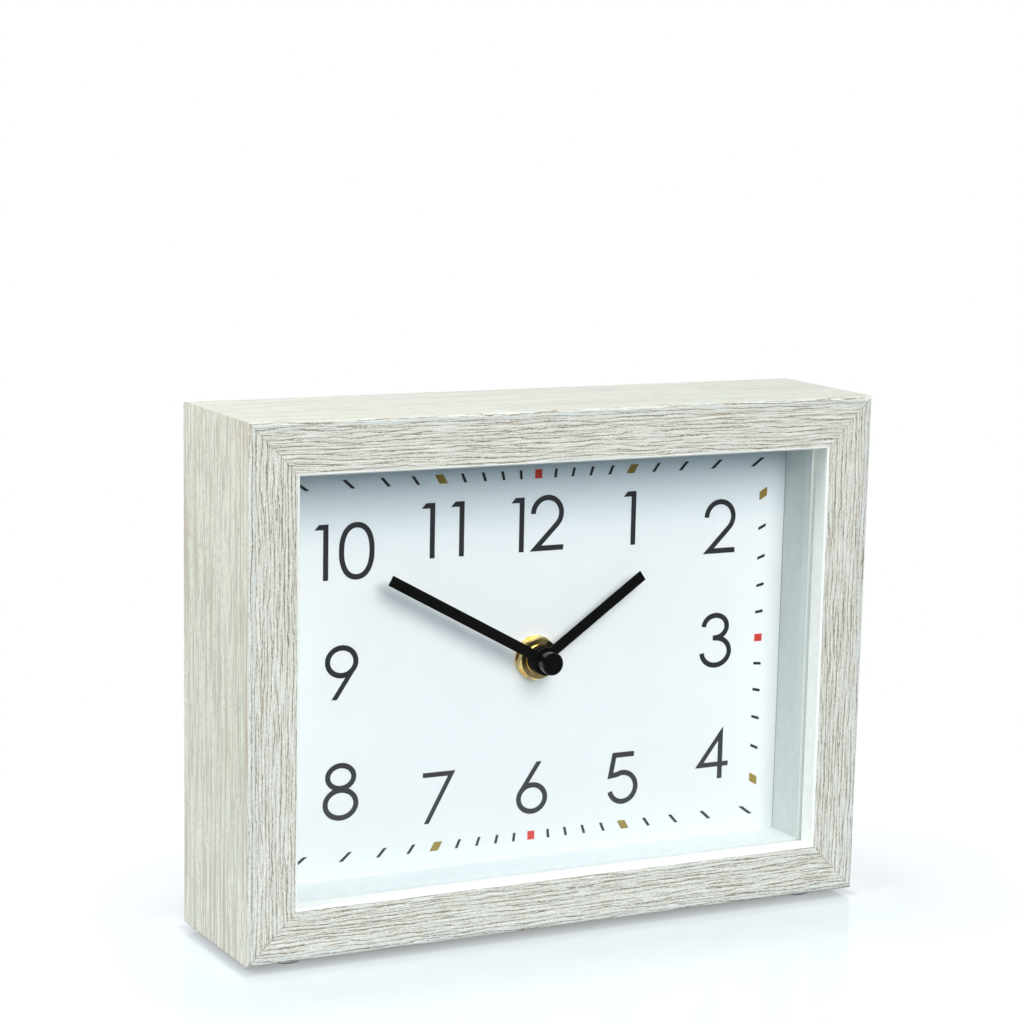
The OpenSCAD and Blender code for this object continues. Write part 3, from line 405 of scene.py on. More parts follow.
@dataclass(frozen=True)
class OakFoil(Finish):
    """Whitewashed oak foil: wavy cracks in relief in front, pinstripes on the sides, brown mitre seams."""
    grain: Grain = Grain.LEVEL
    seed: float = 0.0
    half_w: float = 0.092
    half_h: float = 0.07
    middle_z: float = 0.0717
    front_y: float = -0.0225
    side_contrast: float = 1.0
    ridge: Colour = srgb(250, 250, 244)
    dull: Colour = srgb(226, 226, 218)
    cool: Colour = srgb(224, 232, 230)
    fleck: Colour = srgb(198, 197, 187)
    stain: Colour = srgb(200, 190, 173)
    crack: Colour = srgb(124, 106, 84)
    side_pale: Colour = srgb(220, 220, 208)
    side_tan: Colour = srgb(184, 175, 158)
    side_grey: Colour = srgb(182, 183, 175)
    side_mean: Colour = srgb(188, 190, 182)
    seam: Colour = srgb(132, 104, 74)
    families: tuple[tuple[float, float, float], ...] = (
        (1.4 * MM, 0.16 * MM, 0.0), (1.0 * MM, 0.14 * MM, 31.0), (0.48 * MM, 0.12 * MM, 57.0))
    waves: tuple[tuple[float, float, float], ...] = ((24 * MM, 4.5, 2.2), (5 * MM, 2.4, 0.6))
    tremble: tuple[Pair, float] = ((1.3 * MM, 1.0 * MM), 0.3 * MM)
    breaks: Pair = (1.0 * MM, 0.5 * MM)
    run: float = 12 * MM
    lane_step: float = 7.3
    least_w: float = 0.01 * MM
    stain_reach: float = 0.42
    streak: Pair = (7 * MM, 0.34 * MM)
    speck: Pair = (0.4 * MM, 0.18 * MM)
    cool_edge: Pair = (1.4 * MM, 3.0 * MM)
    painted_edge_shade: Pair = (0.1 * MM, 0.5 * MM)
    side_broad: Pair = (45 * MM, 0.85 * MM)
    side_fine: Pair = (10 * MM, 0.52 * MM)
    side_tick: Pair = (1.4 * MM, 0.42 * MM)
    wrap: Pair = (0.4 * MM, 1.2 * MM)
    seam_gap: float = 6 * MM
    seam_w: float = 0.13 * MM
    seam_depth: float = 0.6
    relief: float = 0.14 * MM
    roughness: Pair = (0.5, 0.68)
    specular: float = 0.3

    def spot(self, graph: Graph, along: float, across: float, shift: float) -> Socket:
        """Gives the place in multiples of a pattern's sizes along and across the grain.

        Args:
            graph: Tree of the finish.
            along: Size along the grain.
            across: Size across it.
            shift: Offset into the pattern.

        Returns:
            The scaled place.
        """
        sizes = [across, across, across]
        sizes[self.grain.value] = along
        return graph.moved(sizes, (self.seed + shift, 2 * self.seed - shift, 3 * self.seed + shift))

    def swing(self, graph: Graph, sizes: Pair, by: float, shift: float, detail: float = 1.0) -> Socket:
        """Returns a soft push across the grain, of up to about half a given length either way."""
        soft = graph.noise(self.spot(graph, *sizes, shift), detail, 0.7)
        return graph.times(graph.minus(soft, 0.5), by)

    def cracks(self, graph: Graph, pitch: float, width: float, shift: float) -> tuple[Socket, Socket]:
        """Draws one family of long wavy cracks that fade in and out along the grain.

        Args:
            graph: Tree of the finish.
            pitch: Mean distance between cracks.
            width: Half the width of the strongest crack.
            shift: Offset that sets this family apart from the others.

        Returns:
            How far the place is inside a crack, and the softer stain beside it.
        """
        parts = graph.split(graph.place)
        across = parts[2 - self.grain.value]
        for number, (length, breadth, by) in enumerate(self.waves):
            wave = self.swing(graph, (length, breadth * pitch), by * pitch, shift + 4 * number)
            across = graph.plus(across, wave)
        across = graph.plus(across, self.swing(graph, *self.tremble, shift + 8, 3.0))
        turn = graph.over(across, pitch)
        lane = graph.math("FLOOR", graph.plus(turn, 0.5))
        away = graph.times(graph.math("PINGPONG", turn, 0.5), pitch)
        along = graph.over(parts[self.grain.value], self.run)
        ahead = graph.join(along, graph.times(lane, self.lane_step), self.seed + shift)
        strength = graph.noise(ahead, 3.0, 0.6)
        broken = graph.noise(self.spot(graph, *self.breaks, shift + 12), 2.0)
        force = graph.times(graph.span(strength, 0.3, 0.6), graph.span(broken, 0.3, 0.6, 0.5, 1.0))
        reach = graph.plus(graph.times(force, width), self.least_w)
        inside = graph.rest(graph.over(away, reach))
        beside = graph.rest(graph.over(away, self.stain_reach * pitch))
        return graph.times(graph.span(inside, 0.0, 0.55), force), graph.times(beside, force)

    def front(self, graph: Graph, edge: Socket) -> tuple[Socket, Socket]:
        """Paints the cracked front.

        Args:
            graph: Tree of the finish.
            edge: Distance to the nearest outer edge of the case.

        Returns:
            Colour, and depth of the relief as a share.
        """
        families = [self.cracks(graph, *sizes) for sizes in self.families]
        (wide, wide_stain), (near, near_stain), (hair, _) = families
        line = graph.most(wide, near)
        stain = graph.most(wide_stain, near_stain)
        streak = graph.noise(self.spot(graph, *self.streak, 13.0), 3.0, 0.6)
        fleck = graph.noise(self.spot(graph, *self.speck, 17.0), 1.0)
        colour = graph.mix(graph.span(streak, 0.36, 0.66), self.ridge, self.dull)
        layers = ((graph.times(stain, 0.5), self.stain),
                  (graph.times(graph.span(edge, *self.cool_edge, 1.0, 0.0), 0.6), self.cool),
                  (graph.span(fleck, 0.4, 0.66, 0.0, 0.7), self.fleck),
                  (graph.times(hair, 0.8), self.stain),
                  (graph.times(line, 0.85), self.crack),
                  # Painted shade: the stain colour along the eased outer edge, dimming the highlight on its
                  # rounding.
                  (graph.span(edge, *self.painted_edge_shade, 0.7, 0.0), self.stain))
        for share, layer in layers:
            colour = graph.mix(share, colour, layer)
        depth = graph.most(line, graph.times(stain, 0.45))
        depth = graph.most(depth, graph.times(hair, 0.4))
        return colour, graph.plus(depth, graph.times(streak, 0.3))

    def side(self, graph: Graph) -> tuple[Socket, Socket]:
        """Paints the pinstriped sides.

        Args:
            graph: Tree of the finish.

        Returns:
            Colour, and depth of the relief as a share.
        """
        broad = graph.noise(self.spot(graph, *self.side_broad, 21.0), 1.0)
        fine = graph.noise(self.spot(graph, *self.side_fine, 27.0), 1.0)
        tick = graph.noise(self.spot(graph, *self.side_tick, 33.0), 1.0)
        colour = graph.mix(graph.span(broad, 0.5, 0.66, 0.0, 0.9), self.side_pale, self.side_tan)
        colour = graph.mix(graph.span(fine, 0.5, 0.68), colour, self.side_grey)
        colour = graph.mix(graph.span(tick, 0.54, 0.7, 0.0, 0.7), colour, self.side_tan)
        colour = graph.mix(self.side_contrast, self.side_mean, colour)
        return colour, graph.times(graph.plus(fine, tick), 0.35)

    def shader(self, graph: Graph) -> Socket:
        """Joins front, sides and mitre seam.

        Args:
            graph: Tree of the finish.

        Returns:
            The shader.
        """
        in_x, in_z = graph.inset(self.half_w, self.half_h, self.middle_z)
        wrap_from, wrap_to = (self.front_y + step for step in self.wrap)
        on_side = graph.span(graph.split(graph.place)[1], wrap_from, wrap_to)
        front, front_depth = self.front(graph, graph.math("MINIMUM", in_x, in_z))
        side, side_depth = self.side(graph)
        closed = graph.clouds(self.seam_gap, 2.0, seed=self.seed)
        seam = graph.span(graph.size(graph.minus(in_x, in_z)), 0.3 * self.seam_w, self.seam_w, 0.8, 0.0)
        seam = graph.times(seam, graph.span(closed, *NARROW, 0.35, 1.0))
        depth = graph.plus(graph.times(front_depth, graph.minus(1.0, on_side)),
                           graph.times(side_depth, on_side))
        depth = graph.plus(depth, graph.times(seam, self.seam_depth))
        return graph.surface(
            Base_Color=graph.mix(seam, graph.mix(on_side, front, side), self.seam),
            Roughness=graph.span(depth, 0.0, 1.0, *self.roughness),
            Specular_IOR_Level=self.specular,
            Normal=graph.bump(graph.minus(1.0, depth), self.relief),
        )


@dataclass(frozen=True)
class SatinWhite(Finish):
    """White plastic or lacquered card with a faint mottle; its end against the glass glows with painted light,
    and its band against the dial is painted shade.
    """
    colour: Colour = srgb(249, 250, 245)
    shade: Colour = srgb(245, 246, 241)
    gloss_roughness: float = 0.35
    gap_shade_from: float = 1.0
    # Painted shade: grey for the band of a spacer that meets the dial, standing in for the shade in that joint.
    gap_shade: Colour = srgb(168, 175, 177)
    glow_end_to: float = -1.0
    # Painted light: emission on the spacer's end against the glass, so that it glows though little lamp light
    # reaches it.
    painted_end_glow: float = 0.32
    mottle: float = 3 * MM
    grain_size: float = 0.25 * MM
    relief: float = 0.006 * MM
    uneven: float = 0.1
    specular: float = 0.4

    def shader(self, graph: Graph) -> Socket:
        """Mottles the white, paints a shade band where it meets the dial and paints a glow on its end against
        the glass.

        Args:
            graph: Tree of the finish.

        Returns:
            The shader.
        """
        cloud = graph.clouds(self.mottle, 3.0)
        grain = graph.clouds(self.grain_size, 2.0, seed=4.0)
        depth = graph.split(graph.place)[1]
        # Painted shade: the band nearest the dial takes the grey.
        in_gap_shade = graph.math("GREATER_THAN", depth, self.gap_shade_from)
        # Painted light: the end face nearest the glass glows.
        at_painted_glow = graph.math("LESS_THAN", depth, self.glow_end_to)
        white = graph.mix(graph.span(cloud, *NARROW), self.colour, self.shade)
        return graph.surface(
            Base_Color=graph.mix(in_gap_shade, white, self.gap_shade),
            Roughness=graph.span(cloud, *WIDE, self.gloss_roughness, self.gloss_roughness + self.uneven),
            Specular_IOR_Level=self.specular,
            Emission_Color=self.colour,
            Emission_Strength=graph.times(at_painted_glow, self.painted_end_glow),
            Normal=graph.bump(grain, self.relief),
        )


@dataclass(frozen=True)
class DialPaper(Finish):
    """Bright matt paper with a fine tooth and the faintest of clouds, with painted shade that greys it towards
    its bottom and makes it cooler and darker towards its top.
    """
    colour: Colour = srgb(250, 250, 251)
    cloud_colour: Colour = srgb(248, 248, 249)
    # Painted shade: a grey towards the bottom of the dial and a cooler, darker tint towards its top.
    painted_low_shade: Colour = srgb(231, 232, 233)
    painted_top_shade: Colour = srgb(230, 239, 246)
    low_shade_span: Pair = (14 * MM, 62 * MM)
    top_shade_span: Pair = (95 * MM, 125 * MM)
    cloud: float = 14 * MM
    fibre: float = 0.16 * MM
    relief: float = 0.004 * MM
    roughness: Pair = (0.55, 0.7)
    specular: float = 0.3

    def shader(self, graph: Graph) -> Socket:
        """Clouds the paper and paints shade on it towards its lower and upper edges.

        Args:
            graph: Tree of the finish.

        Returns:
            The shader.
        """
        cloud = graph.clouds(self.cloud, 3.0)
        fibre = graph.clouds(self.fibre, 3.0, seed=2.0)
        paper = graph.mix(graph.span(cloud, *MIDDLE), self.colour, self.cloud_colour)
        height = graph.split(graph.place)[2]
        # Painted shade: greyer towards the bottom.
        paper = graph.mix(graph.span(height, *self.low_shade_span), self.painted_low_shade, paper)
        return graph.surface(
            # Painted shade: cooler and darker towards the top.
            Base_Color=graph.mix(graph.span(height, *self.top_shade_span), paper, self.painted_top_shade),
            Roughness=graph.span(fibre, *MIDDLE, *self.roughness),
            Specular_IOR_Level=self.specular,
            Normal=graph.bump(fibre, self.relief),
        )


@dataclass(frozen=True)
class PrintInk(Finish):
    """Printed ink: one colour, a little thinner in places."""
    colour: Colour = srgb(36, 37, 42)
    thin: Colour = srgb(48, 51, 58)
    speck: float = 0.3 * MM
    patch: float = 6 * MM
    thinned: Pair = (0.45, 0.75)
    roughness: Pair = (0.4, 0.55)
    specular: float = 0.35

    def shader(self, graph: Graph) -> Socket:
        """Thins the ink in places.

        Args:
            graph: Tree of the finish.

        Returns:
            The shader.
        """
        cover = graph.clouds(self.speck, 3.0, 0.7)
        cloud = graph.clouds(self.patch, 1.0)
        share = graph.times(graph.span(cover, *self.thinned), graph.span(cloud, *WIDE, 0.4, 1.0))
        return graph.surface(
            Base_Color=graph.mix(share, self.colour, self.thin),
            Roughness=graph.span(cover, *WIDE, *self.roughness),
            Specular_IOR_Level=self.specular,
        )


@dataclass(frozen=True)
class ClearGlass(Finish):
    """Clear glass, a little greener near its cut edge, that mirrors on its outer faces alone."""
    tint: Colour = (0.99, 0.998, 1.0)
    edge_tint: Colour = (0.86, 0.9, 0.84)
    shine: Colour = (1.0, 1.0, 1.0)
    mirror_share: float = 0.95
    mirror_roughness: float = 0.05
    ior: float = 1.5
    rim: Pair = (0.1 * MM, 0.9 * MM)
    half_w: float = 0.084
    half_h: float = 0.062
    middle_z: float = 0.0717

    def shader(self, graph: Graph) -> Socket:
        """Mixes a clear pane with a mirror.

        Args:
            graph: Tree of the finish.

        Returns:
            The shader.
        """
        edge = graph.math("MINIMUM", *graph.inset(self.half_w, self.half_h, self.middle_z))
        rim = graph.span(edge, *self.rim, 1.0, 0.0)
        clear = graph.add("ShaderNodeBsdfTransparent")
        graph.feed(clear.inputs["Color"], graph.mix(rim, self.tint, self.edge_tint))
        sheen = graph.add("ShaderNodeBsdfGlossy")
        sheen.inputs["Roughness"].default_value = self.mirror_roughness
        graph.feed(sheen.inputs["Color"], self.shine)
        fresnel = graph.add("ShaderNodeFresnel")
        fresnel.inputs["IOR"].default_value = self.ior
        outward = graph.minus(1.0, graph.add("ShaderNodeNewGeometry").outputs["Backfacing"])
        share = graph.times(graph.times(fresnel.outputs[0], outward), self.mirror_share)
        return graph.blend(share, clear.outputs[0], sheen.outputs[0])


@dataclass(frozen=True)
class TurnedBrass(Finish):
    """Bright brass with fine turning marks round the middle of the dial."""
    colour: Colour = srgb(243, 218, 154)
    dull: Colour = srgb(218, 187, 114)
    middle_z: float = 0.0717
    turning: float = 0.12 * MM
    cloud: float = 1.5 * MM
    relief: float = 0.02 * MM
    roughness: Pair = (0.12, 0.24)

    def shader(self, graph: Graph) -> Socket:
        """Turns fine rings into the brass.

        Args:
            graph: Tree of the finish.

        Returns:
            The shader.
        """
        x, y, z = graph.split(graph.place)
        radius = graph.length(x, graph.minus(z, self.middle_z))
        rings = graph.noise(graph.join(graph.over(radius, self.turning), graph.over(y, self.turning), 0.0))
        cloud = graph.clouds(self.cloud, 3.0)
        return graph.surface(
            Base_Color=graph.mix(graph.span(cloud, *RAISED), self.colour, self.dull),
            Metallic=1.0,
            Roughness=graph.span(rings, *MIDDLE, *self.roughness),
            Normal=graph.bump(rings, self.relief),
        )


@dataclass(frozen=True)
class PlainSteel(Finish):
    """Bare sheet or bar steel with fine scratches and dull patches."""
    colour: Colour = srgb(196, 198, 201)
    dull: Colour = srgb(160, 163, 168)
    scratch: tuple[float, float, float] = (0.15 * MM, 0.15 * MM, 4 * MM)
    smooth: float = 0.28
    uneven: float = 0.18
    cloud: float = 2.5 * MM
    relief: float = 0.004 * MM

    def shader(self, graph: Graph) -> Socket:
        """Scratches and clouds the steel.

        Args:
            graph: Tree of the finish.

        Returns:
            The shader.
        """
        lines = graph.noise(graph.scaled(self.scratch), 3.0, 0.6)
        cloud = graph.clouds(self.cloud, 3.0, seed=3.0)
        return graph.surface(
            Base_Color=graph.mix(graph.span(cloud, *MIDDLE), self.colour, self.dull),
            Metallic=1.0,
            Roughness=graph.span(lines, 0.25, 0.75, self.smooth, self.smooth + self.uneven),
            Normal=graph.bump(lines, self.relief),
        )


@dataclass(frozen=True)
class Lacquer(Finish):
    """Black or coloured coat, from satin to gloss, with a slight orange peel."""
    colour: Colour = srgb(8, 8, 9)
    dusty: Colour = srgb(14, 14, 15)
    roughness: float = 0.42
    specular: float = 0.2
    coat: float = 0.0
    peel: float = 0.5 * MM
    relief: float = 0.003 * MM
    cloud: float = 4 * MM
    uneven: float = 0.07
    coat_roughness: float = 0.06

    def shader(self, graph: Graph) -> Socket:
        """Gives the coat its dust and its peel.

        Args:
            graph: Tree of the finish.

        Returns:
            The shader.
        """
        cloud = graph.clouds(self.cloud, 3.0)
        peel = graph.clouds(self.peel, 1.0, seed=6.0)
        return graph.surface(
            Base_Color=graph.mix(graph.span(cloud, *RAISED), self.colour, self.dusty),
            Roughness=graph.span(cloud, *MIDDLE, self.roughness, self.roughness + self.uneven),
            Specular_IOR_Level=self.specular,
            Coat_Weight=self.coat,
            Coat_Roughness=self.coat_roughness,
            Normal=graph.bump(peel, self.relief),
        )


@dataclass(frozen=True)
class MouldedPlastic(Finish):
    """Moulded plastic with a spark-eroded grain and slight cloudiness."""
    colour: Colour = srgb(34, 35, 37)
    cloudy: Colour = srgb(41, 42, 44)
    roughness: float = 0.48
    grain_size: float = 0.14 * MM
    relief: float = 0.014 * MM
    glow: float = 0.0
    glow_depth: float = 0.6 * MM
    cloud: float = 8 * MM
    uneven: float = 0.12

    def shader(self, graph: Graph) -> Socket:
        """Grains and clouds the plastic.

        Args:
            graph: Tree of the finish.

        Returns:
            The shader.
        """
        cloud = graph.clouds(self.cloud, 3.0)
        grain = graph.clouds(self.grain_size, 2.0, seed=2.0)
        return graph.surface(
            Base_Color=graph.mix(graph.span(cloud, *MIDDLE), self.colour, self.cloudy),
            Roughness=graph.span(grain, *MIDDLE, self.roughness, self.roughness + self.uneven),
            Subsurface_Weight=self.glow,
            Subsurface_Scale=self.glow_depth,
            Normal=graph.bump(grain, self.relief),
        )


@dataclass(frozen=True)
class Hardboard(Finish):
    """Pressed wood fibre: warm brown with pale and dark fibres lying every way."""
    colour: Colour = srgb(164, 132, 97)
    pale: Colour = srgb(192, 164, 128)
    dark: Colour = srgb(124, 94, 64)
    fibre: float = 0.35 * MM
    stretch: float = 6
    cloud: float = 11 * MM
    pale_from: Pair = (0.52, 0.72)
    dark_from: Pair = (0.54, 0.74)
    relief: float = 0.02 * MM
    roughness: Pair = (0.62, 0.8)
    specular: float = 0.25

    def shader(self, graph: Graph) -> Socket:
        """Lays pale and dark fibres over the board.

        Args:
            graph: Tree of the finish.

        Returns:
            The shader.
        """
        cloud = graph.clouds(self.cloud, 4.0, 0.6)
        long = self.stretch * self.fibre
        flat = graph.noise(graph.scaled((long, self.fibre, self.fibre), 2.0), 3.0, 0.7)
        steep = graph.noise(graph.scaled((self.fibre, self.fibre, long), 5.0), 3.0, 0.7)
        colour = graph.mix(graph.span(cloud, *NARROW, 0.0, 0.25), self.colour, self.dark)
        colour = graph.mix(graph.span(flat, *self.pale_from, 0.0, 0.8), colour, self.pale)
        return graph.surface(
            Base_Color=graph.mix(graph.span(steep, *self.dark_from, 0.0, 0.7), colour, self.dark),
            Roughness=graph.span(flat, *WIDE, *self.roughness),
            Specular_IOR_Level=self.specular,
            Normal=graph.bump(graph.plus(flat, steep), self.relief),
        )


@dataclass(frozen=True)
class SoftRubber(Finish):
    """Matt rubber or foam with fine pores."""
    colour: Colour = srgb(96, 98, 101)
    worn: Colour = srgb(116, 118, 121)
    pore: float = 0.22 * MM
    cloud: float = 3 * MM
    relief: float = 0.02 * MM
    roughness: Pair = (0.7, 0.88)
    specular: float = 0.2

    def shader(self, graph: Graph) -> Socket:
        """Pricks pores into the rubber.

        Args:
            graph: Tree of the finish.

        Returns:
            The shader.
        """
        pores = graph.cells(graph.scaled((self.pore,) * 3), "F1")
        cloud = graph.clouds(self.cloud, 3.0)
        return graph.surface(
            Base_Color=graph.mix(graph.span(cloud, *RAISED), self.colour, self.worn),
            Roughness=graph.span(pores, 0.1, 0.6, *self.roughness),
            Specular_IOR_Level=self.specular,
            Normal=graph.bump(pores, self.relief),
        )


@dataclass(frozen=True)
class EnamelledWire(Finish):
    """Fine copper wire in enamel, wound round an upright coil in close turns."""
    colour: Colour = srgb(196, 104, 52)
    gap_shade: Colour = srgb(104, 48, 22)
    wire: float = 0.16 * MM
    groove: Pair = (0.0, 0.22)
    cloud: float = 1.2 * MM
    relief: float = 0.05 * MM
    metallic: float = 0.7
    roughness: Pair = (0.24, 0.36)

    def shader(self, graph: Graph) -> Socket:
        """Lays the turns of wire over each other.

        Args:
            graph: Tree of the finish.

        Returns:
            The shader.
        """
        turn = graph.math("PINGPONG", graph.over(graph.split(graph.place)[2], self.wire), 0.5)
        cloud = graph.clouds(self.cloud, 2.0)
        # Painted shade: the dark copper colour in the grooves between turns.
        colour = graph.mix(graph.span(turn, *self.groove, 1.0, 0.0), self.colour, self.gap_shade)
        return graph.surface(
            # The same dark colour also darkens random patches of the wire.
            Base_Color=graph.mix(graph.span(cloud, 0.4, 0.8, 0.0, 0.35), colour, self.gap_shade),
            Metallic=self.metallic,
            Roughness=graph.span(cloud, *WIDE, *self.roughness),
            Normal=graph.bump(turn, self.relief),
        )


@dataclass(frozen=True)
class SolderMask(Finish):
    """Green lacquered circuit board with copper tracks showing through as paler lines."""
    colour: Colour = srgb(34, 92, 50)
    track: Colour = srgb(62, 128, 70)
    track_size: tuple[float, float, float] = (1.7 * MM, 8 * MM, 5.1 * MM)
    track_edge: Pair = (0.1, 0.16)
    cloud: float = 0.5 * MM
    relief: float = 0.03 * MM
    roughness: Pair = (0.22, 0.34)

    def shader(self, graph: Graph) -> Socket:
        """Draws the tracks under the lacquer.

        Args:
            graph: Tree of the finish.

        Returns:
            The shader.
        """
        track = graph.span(graph.cells(graph.scaled(self.track_size)), *self.track_edge, 1.0, 0.0)
        cloud = graph.clouds(self.cloud, 2.0)
        return graph.surface(
            Base_Color=graph.mix(track, self.colour, self.track),
            Roughness=graph.span(cloud, *WIDE, *self.roughness),
            Normal=graph.bump(track, self.relief),
        )


@dataclass(frozen=True)
class PrintedSleeve(Finish):
    """Shrunk plastic sleeve of a battery: dark and rubbed, with a pale band at its positive end."""
    colour: Colour = srgb(58, 63, 68)
    band: Colour = srgb(176, 182, 186)
    band_to: float = -0.015
    band_edge: float = 0.05 * MM
    rub: float = 1.5 * MM
    rubbed: Pair = (0.62, 0.78)
    relief: float = 0.01 * MM
    roughness: Pair = (0.2, 0.32)

    def shader(self, graph: Graph) -> Socket:
        """Bands and rubs the sleeve.

        Args:
            graph: Tree of the finish.

        Returns:
            The shader.
        """
        rub = graph.clouds(self.rub, 4.0, 0.65)
        on_band = graph.span(graph.split(graph.place)[0], self.band_to - self.band_edge,
                             self.band_to + self.band_edge, 1.0, 0.0)
        colour = graph.mix(on_band, self.colour, self.band)
        return graph.surface(
            Base_Color=graph.mix(graph.span(rub, *self.rubbed, 0.0, 0.35), colour, self.band),
            Roughness=graph.span(rub, *MIDDLE, *self.roughness),
            Normal=graph.bump(rub, self.relief),
        )


def node(name: str) -> bpy.types.Object:
    """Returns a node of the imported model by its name."""
    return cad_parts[name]


def nodes(*names: str) -> list[bpy.types.Object]:
    """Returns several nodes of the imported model."""
    return [node(name) for name in names]


def ease(piece: bpy.types.Object, width: float, segments: int = 2, angle: float = 30) -> None:
    """Rounds the sharp edges of a piece.

    Args:
        piece: Mesh object.
        width: Width of the rounding.
        segments: Faces across the rounding.
        angle: Smallest turn in degrees between two faces whose edge is rounded.
    """
    rounding = piece.modifiers.new("eased_edges", "BEVEL")
    rounding.width = width
    rounding.segments = segments
    rounding.limit_method = "ANGLE"
    rounding.angle_limit = math.radians(angle)
    rounding.harden_normals = False


def smooth(piece: bpy.types.Object, angle: float = 35) -> None:
    """Shades a piece smooth up to an angle between faces, given in degrees."""
    piece.data.shade_smooth()
    piece.data.set_sharp_from_angle(angle=math.radians(angle))


def placed(name: str, data: bpy.types.ID) -> bpy.types.Object:
    """Puts something in the scene.

    Args:
        name: Name of the object.
        data: Its mesh, lamp or camera.

    Returns:
        The object.
    """
    piece = bpy.data.objects.new(name, data)
    bpy.context.scene.collection.objects.link(piece)
    return piece


def meshed(name: str, shape: bmesh.types.BMesh) -> bpy.types.Object:
    """Puts a shape in the scene.

    Args:
        name: Name of the object.
        shape: The shape, which is freed.

    Returns:
        The object.
    """
    mesh = bpy.data.meshes.new(name)
    shape.to_mesh(mesh)
    shape.free()
    return placed(name, mesh)


def new_piece(name: str, shape: bmesh.types.BMesh, body: str) -> bpy.types.Object:
    """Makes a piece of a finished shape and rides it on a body.

    Args:
        name: Name of the piece.
        shape: The shape, which is freed.
        body: Body that carries the piece.

    Returns:
        The object.
    """
    bmesh.ops.recalc_face_normals(shape, faces=shape.faces)
    piece = meshed(name, shape)
    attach(piece, body)
    LOG.info("piece %s rides on %s", name, body)
    return piece


def revolve(profile: Sequence[Pair], middle: Vector, steps: int) -> bmesh.types.BMesh:
    """Turns a profile round a line along X.

    Args:
        profile: Pairs of a place along X and a radius. A radius of 0 closes the shape.
        middle: A point of the line.
        steps: Number of faces round the line.

    Returns:
        The shape.
    """
    shape = bmesh.new()
    rings: list[list[bmesh.types.BMVert]] = []
    for x, radius in profile:
        if radius == 0:
            rings.append([shape.verts.new((x, middle.y, middle.z))])
            continue
        turns = [math.tau * i / steps for i in range(steps)]
        rings.append([shape.verts.new((x, middle.y + radius * math.cos(a), middle.z + radius * math.sin(a)))
                      for a in turns])
    for first, second in zip(rings, rings[1:]):
        for i in range(steps):
            corners = [first[i % len(first)], first[(i + 1) % len(first)],
                       second[(i + 1) % len(second)], second[i % len(second)]]
            shape.faces.new(list(dict.fromkeys(corners)))
    return shape


def raised(outline: Sequence[Pair], y0: float, y1: float) -> bmesh.types.BMesh:
    """Raises a front-view outline between two depths.

    Args:
        outline: Points as pairs of X and Z.
        y0: Nearest depth.
        y1: Farthest depth.

    Returns:
        The shape.
    """
    shape = bmesh.new()
    near = [shape.verts.new((x, y0, z)) for x, z in outline]
    far = [shape.verts.new((x, y1, z)) for x, z in outline]
    shape.faces.new(near)
    shape.faces.new(far[::-1])
    count = len(outline)
    for i in range(count):
        shape.faces.new([near[i], near[(i + 1) % count], far[(i + 1) % count], far[i]])
    return shape


def weld(piece: bpy.types.Object) -> None:
    """Joins the points of a piece that lie on each other.

    Args:
        piece: Mesh object.
    """
    shape = bmesh.new()
    shape.from_mesh(piece.data)
    bmesh.ops.remove_doubles(shape, verts=shape.verts, dist=WELD)
    bmesh.ops.recalc_face_normals(shape, faces=shape.faces)
    shape.to_mesh(piece.data)
    shape.free()


def direction(azimuth: float, elevation: float) -> Vector:
    """Turns two angles into a direction.

    Args:
        azimuth: Angle round the clock from its front towards the right, in degrees.
        elevation: Angle above the table, in degrees.

    Returns:
        The direction, of length 1.
    """
    turn, rise = math.radians(azimuth), math.radians(elevation)
    return Vector((math.sin(turn) * math.cos(rise), -math.cos(turn) * math.cos(rise), math.sin(rise)))


@dataclass
class Case:
    """The mitred box: four foil-wrapped rails with the wedges in their mitres."""
    edge_ease: float = 0.12 * MM
    grain_step: float = 3.7
    level_contrast: float = 0.45
    half_w: float = field(init=False)
    half_h: float = field(init=False)
    middle_z: float = field(init=False)
    front_y: float = field(init=False)

    def __post_init__(self) -> None:
        """Reads the case's size from the frame."""
        low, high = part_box("top_rail")
        foot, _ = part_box("bottom_rail")
        self.half_w = high.x
        self.half_h = (high.z - foot.z) / 2
        self.middle_z = (high.z + foot.z) / 2
        self.front_y = low.y

    def build(self) -> None:
        """Dresses the rails, each with its own stretch of grain."""
        rails = {"top_rail": Grain.LEVEL, "bottom_rail": Grain.LEVEL,
                 "left_stile": Grain.UPRIGHT, "right_stile": Grain.UPRIGHT}
        for number, (name, grain) in enumerate(rails.items()):
            contrast = self.level_contrast if grain is Grain.LEVEL else 1.0
            OakFoil(f"oak_foil_{name}", grain, self.grain_step * number, self.half_w, self.half_h,
                    self.middle_z, self.front_y, contrast).dress(node(name))
            ease(node(name), self.edge_ease)
        PlainSteel("wedge_steel").dress(node("corner_wedges"))


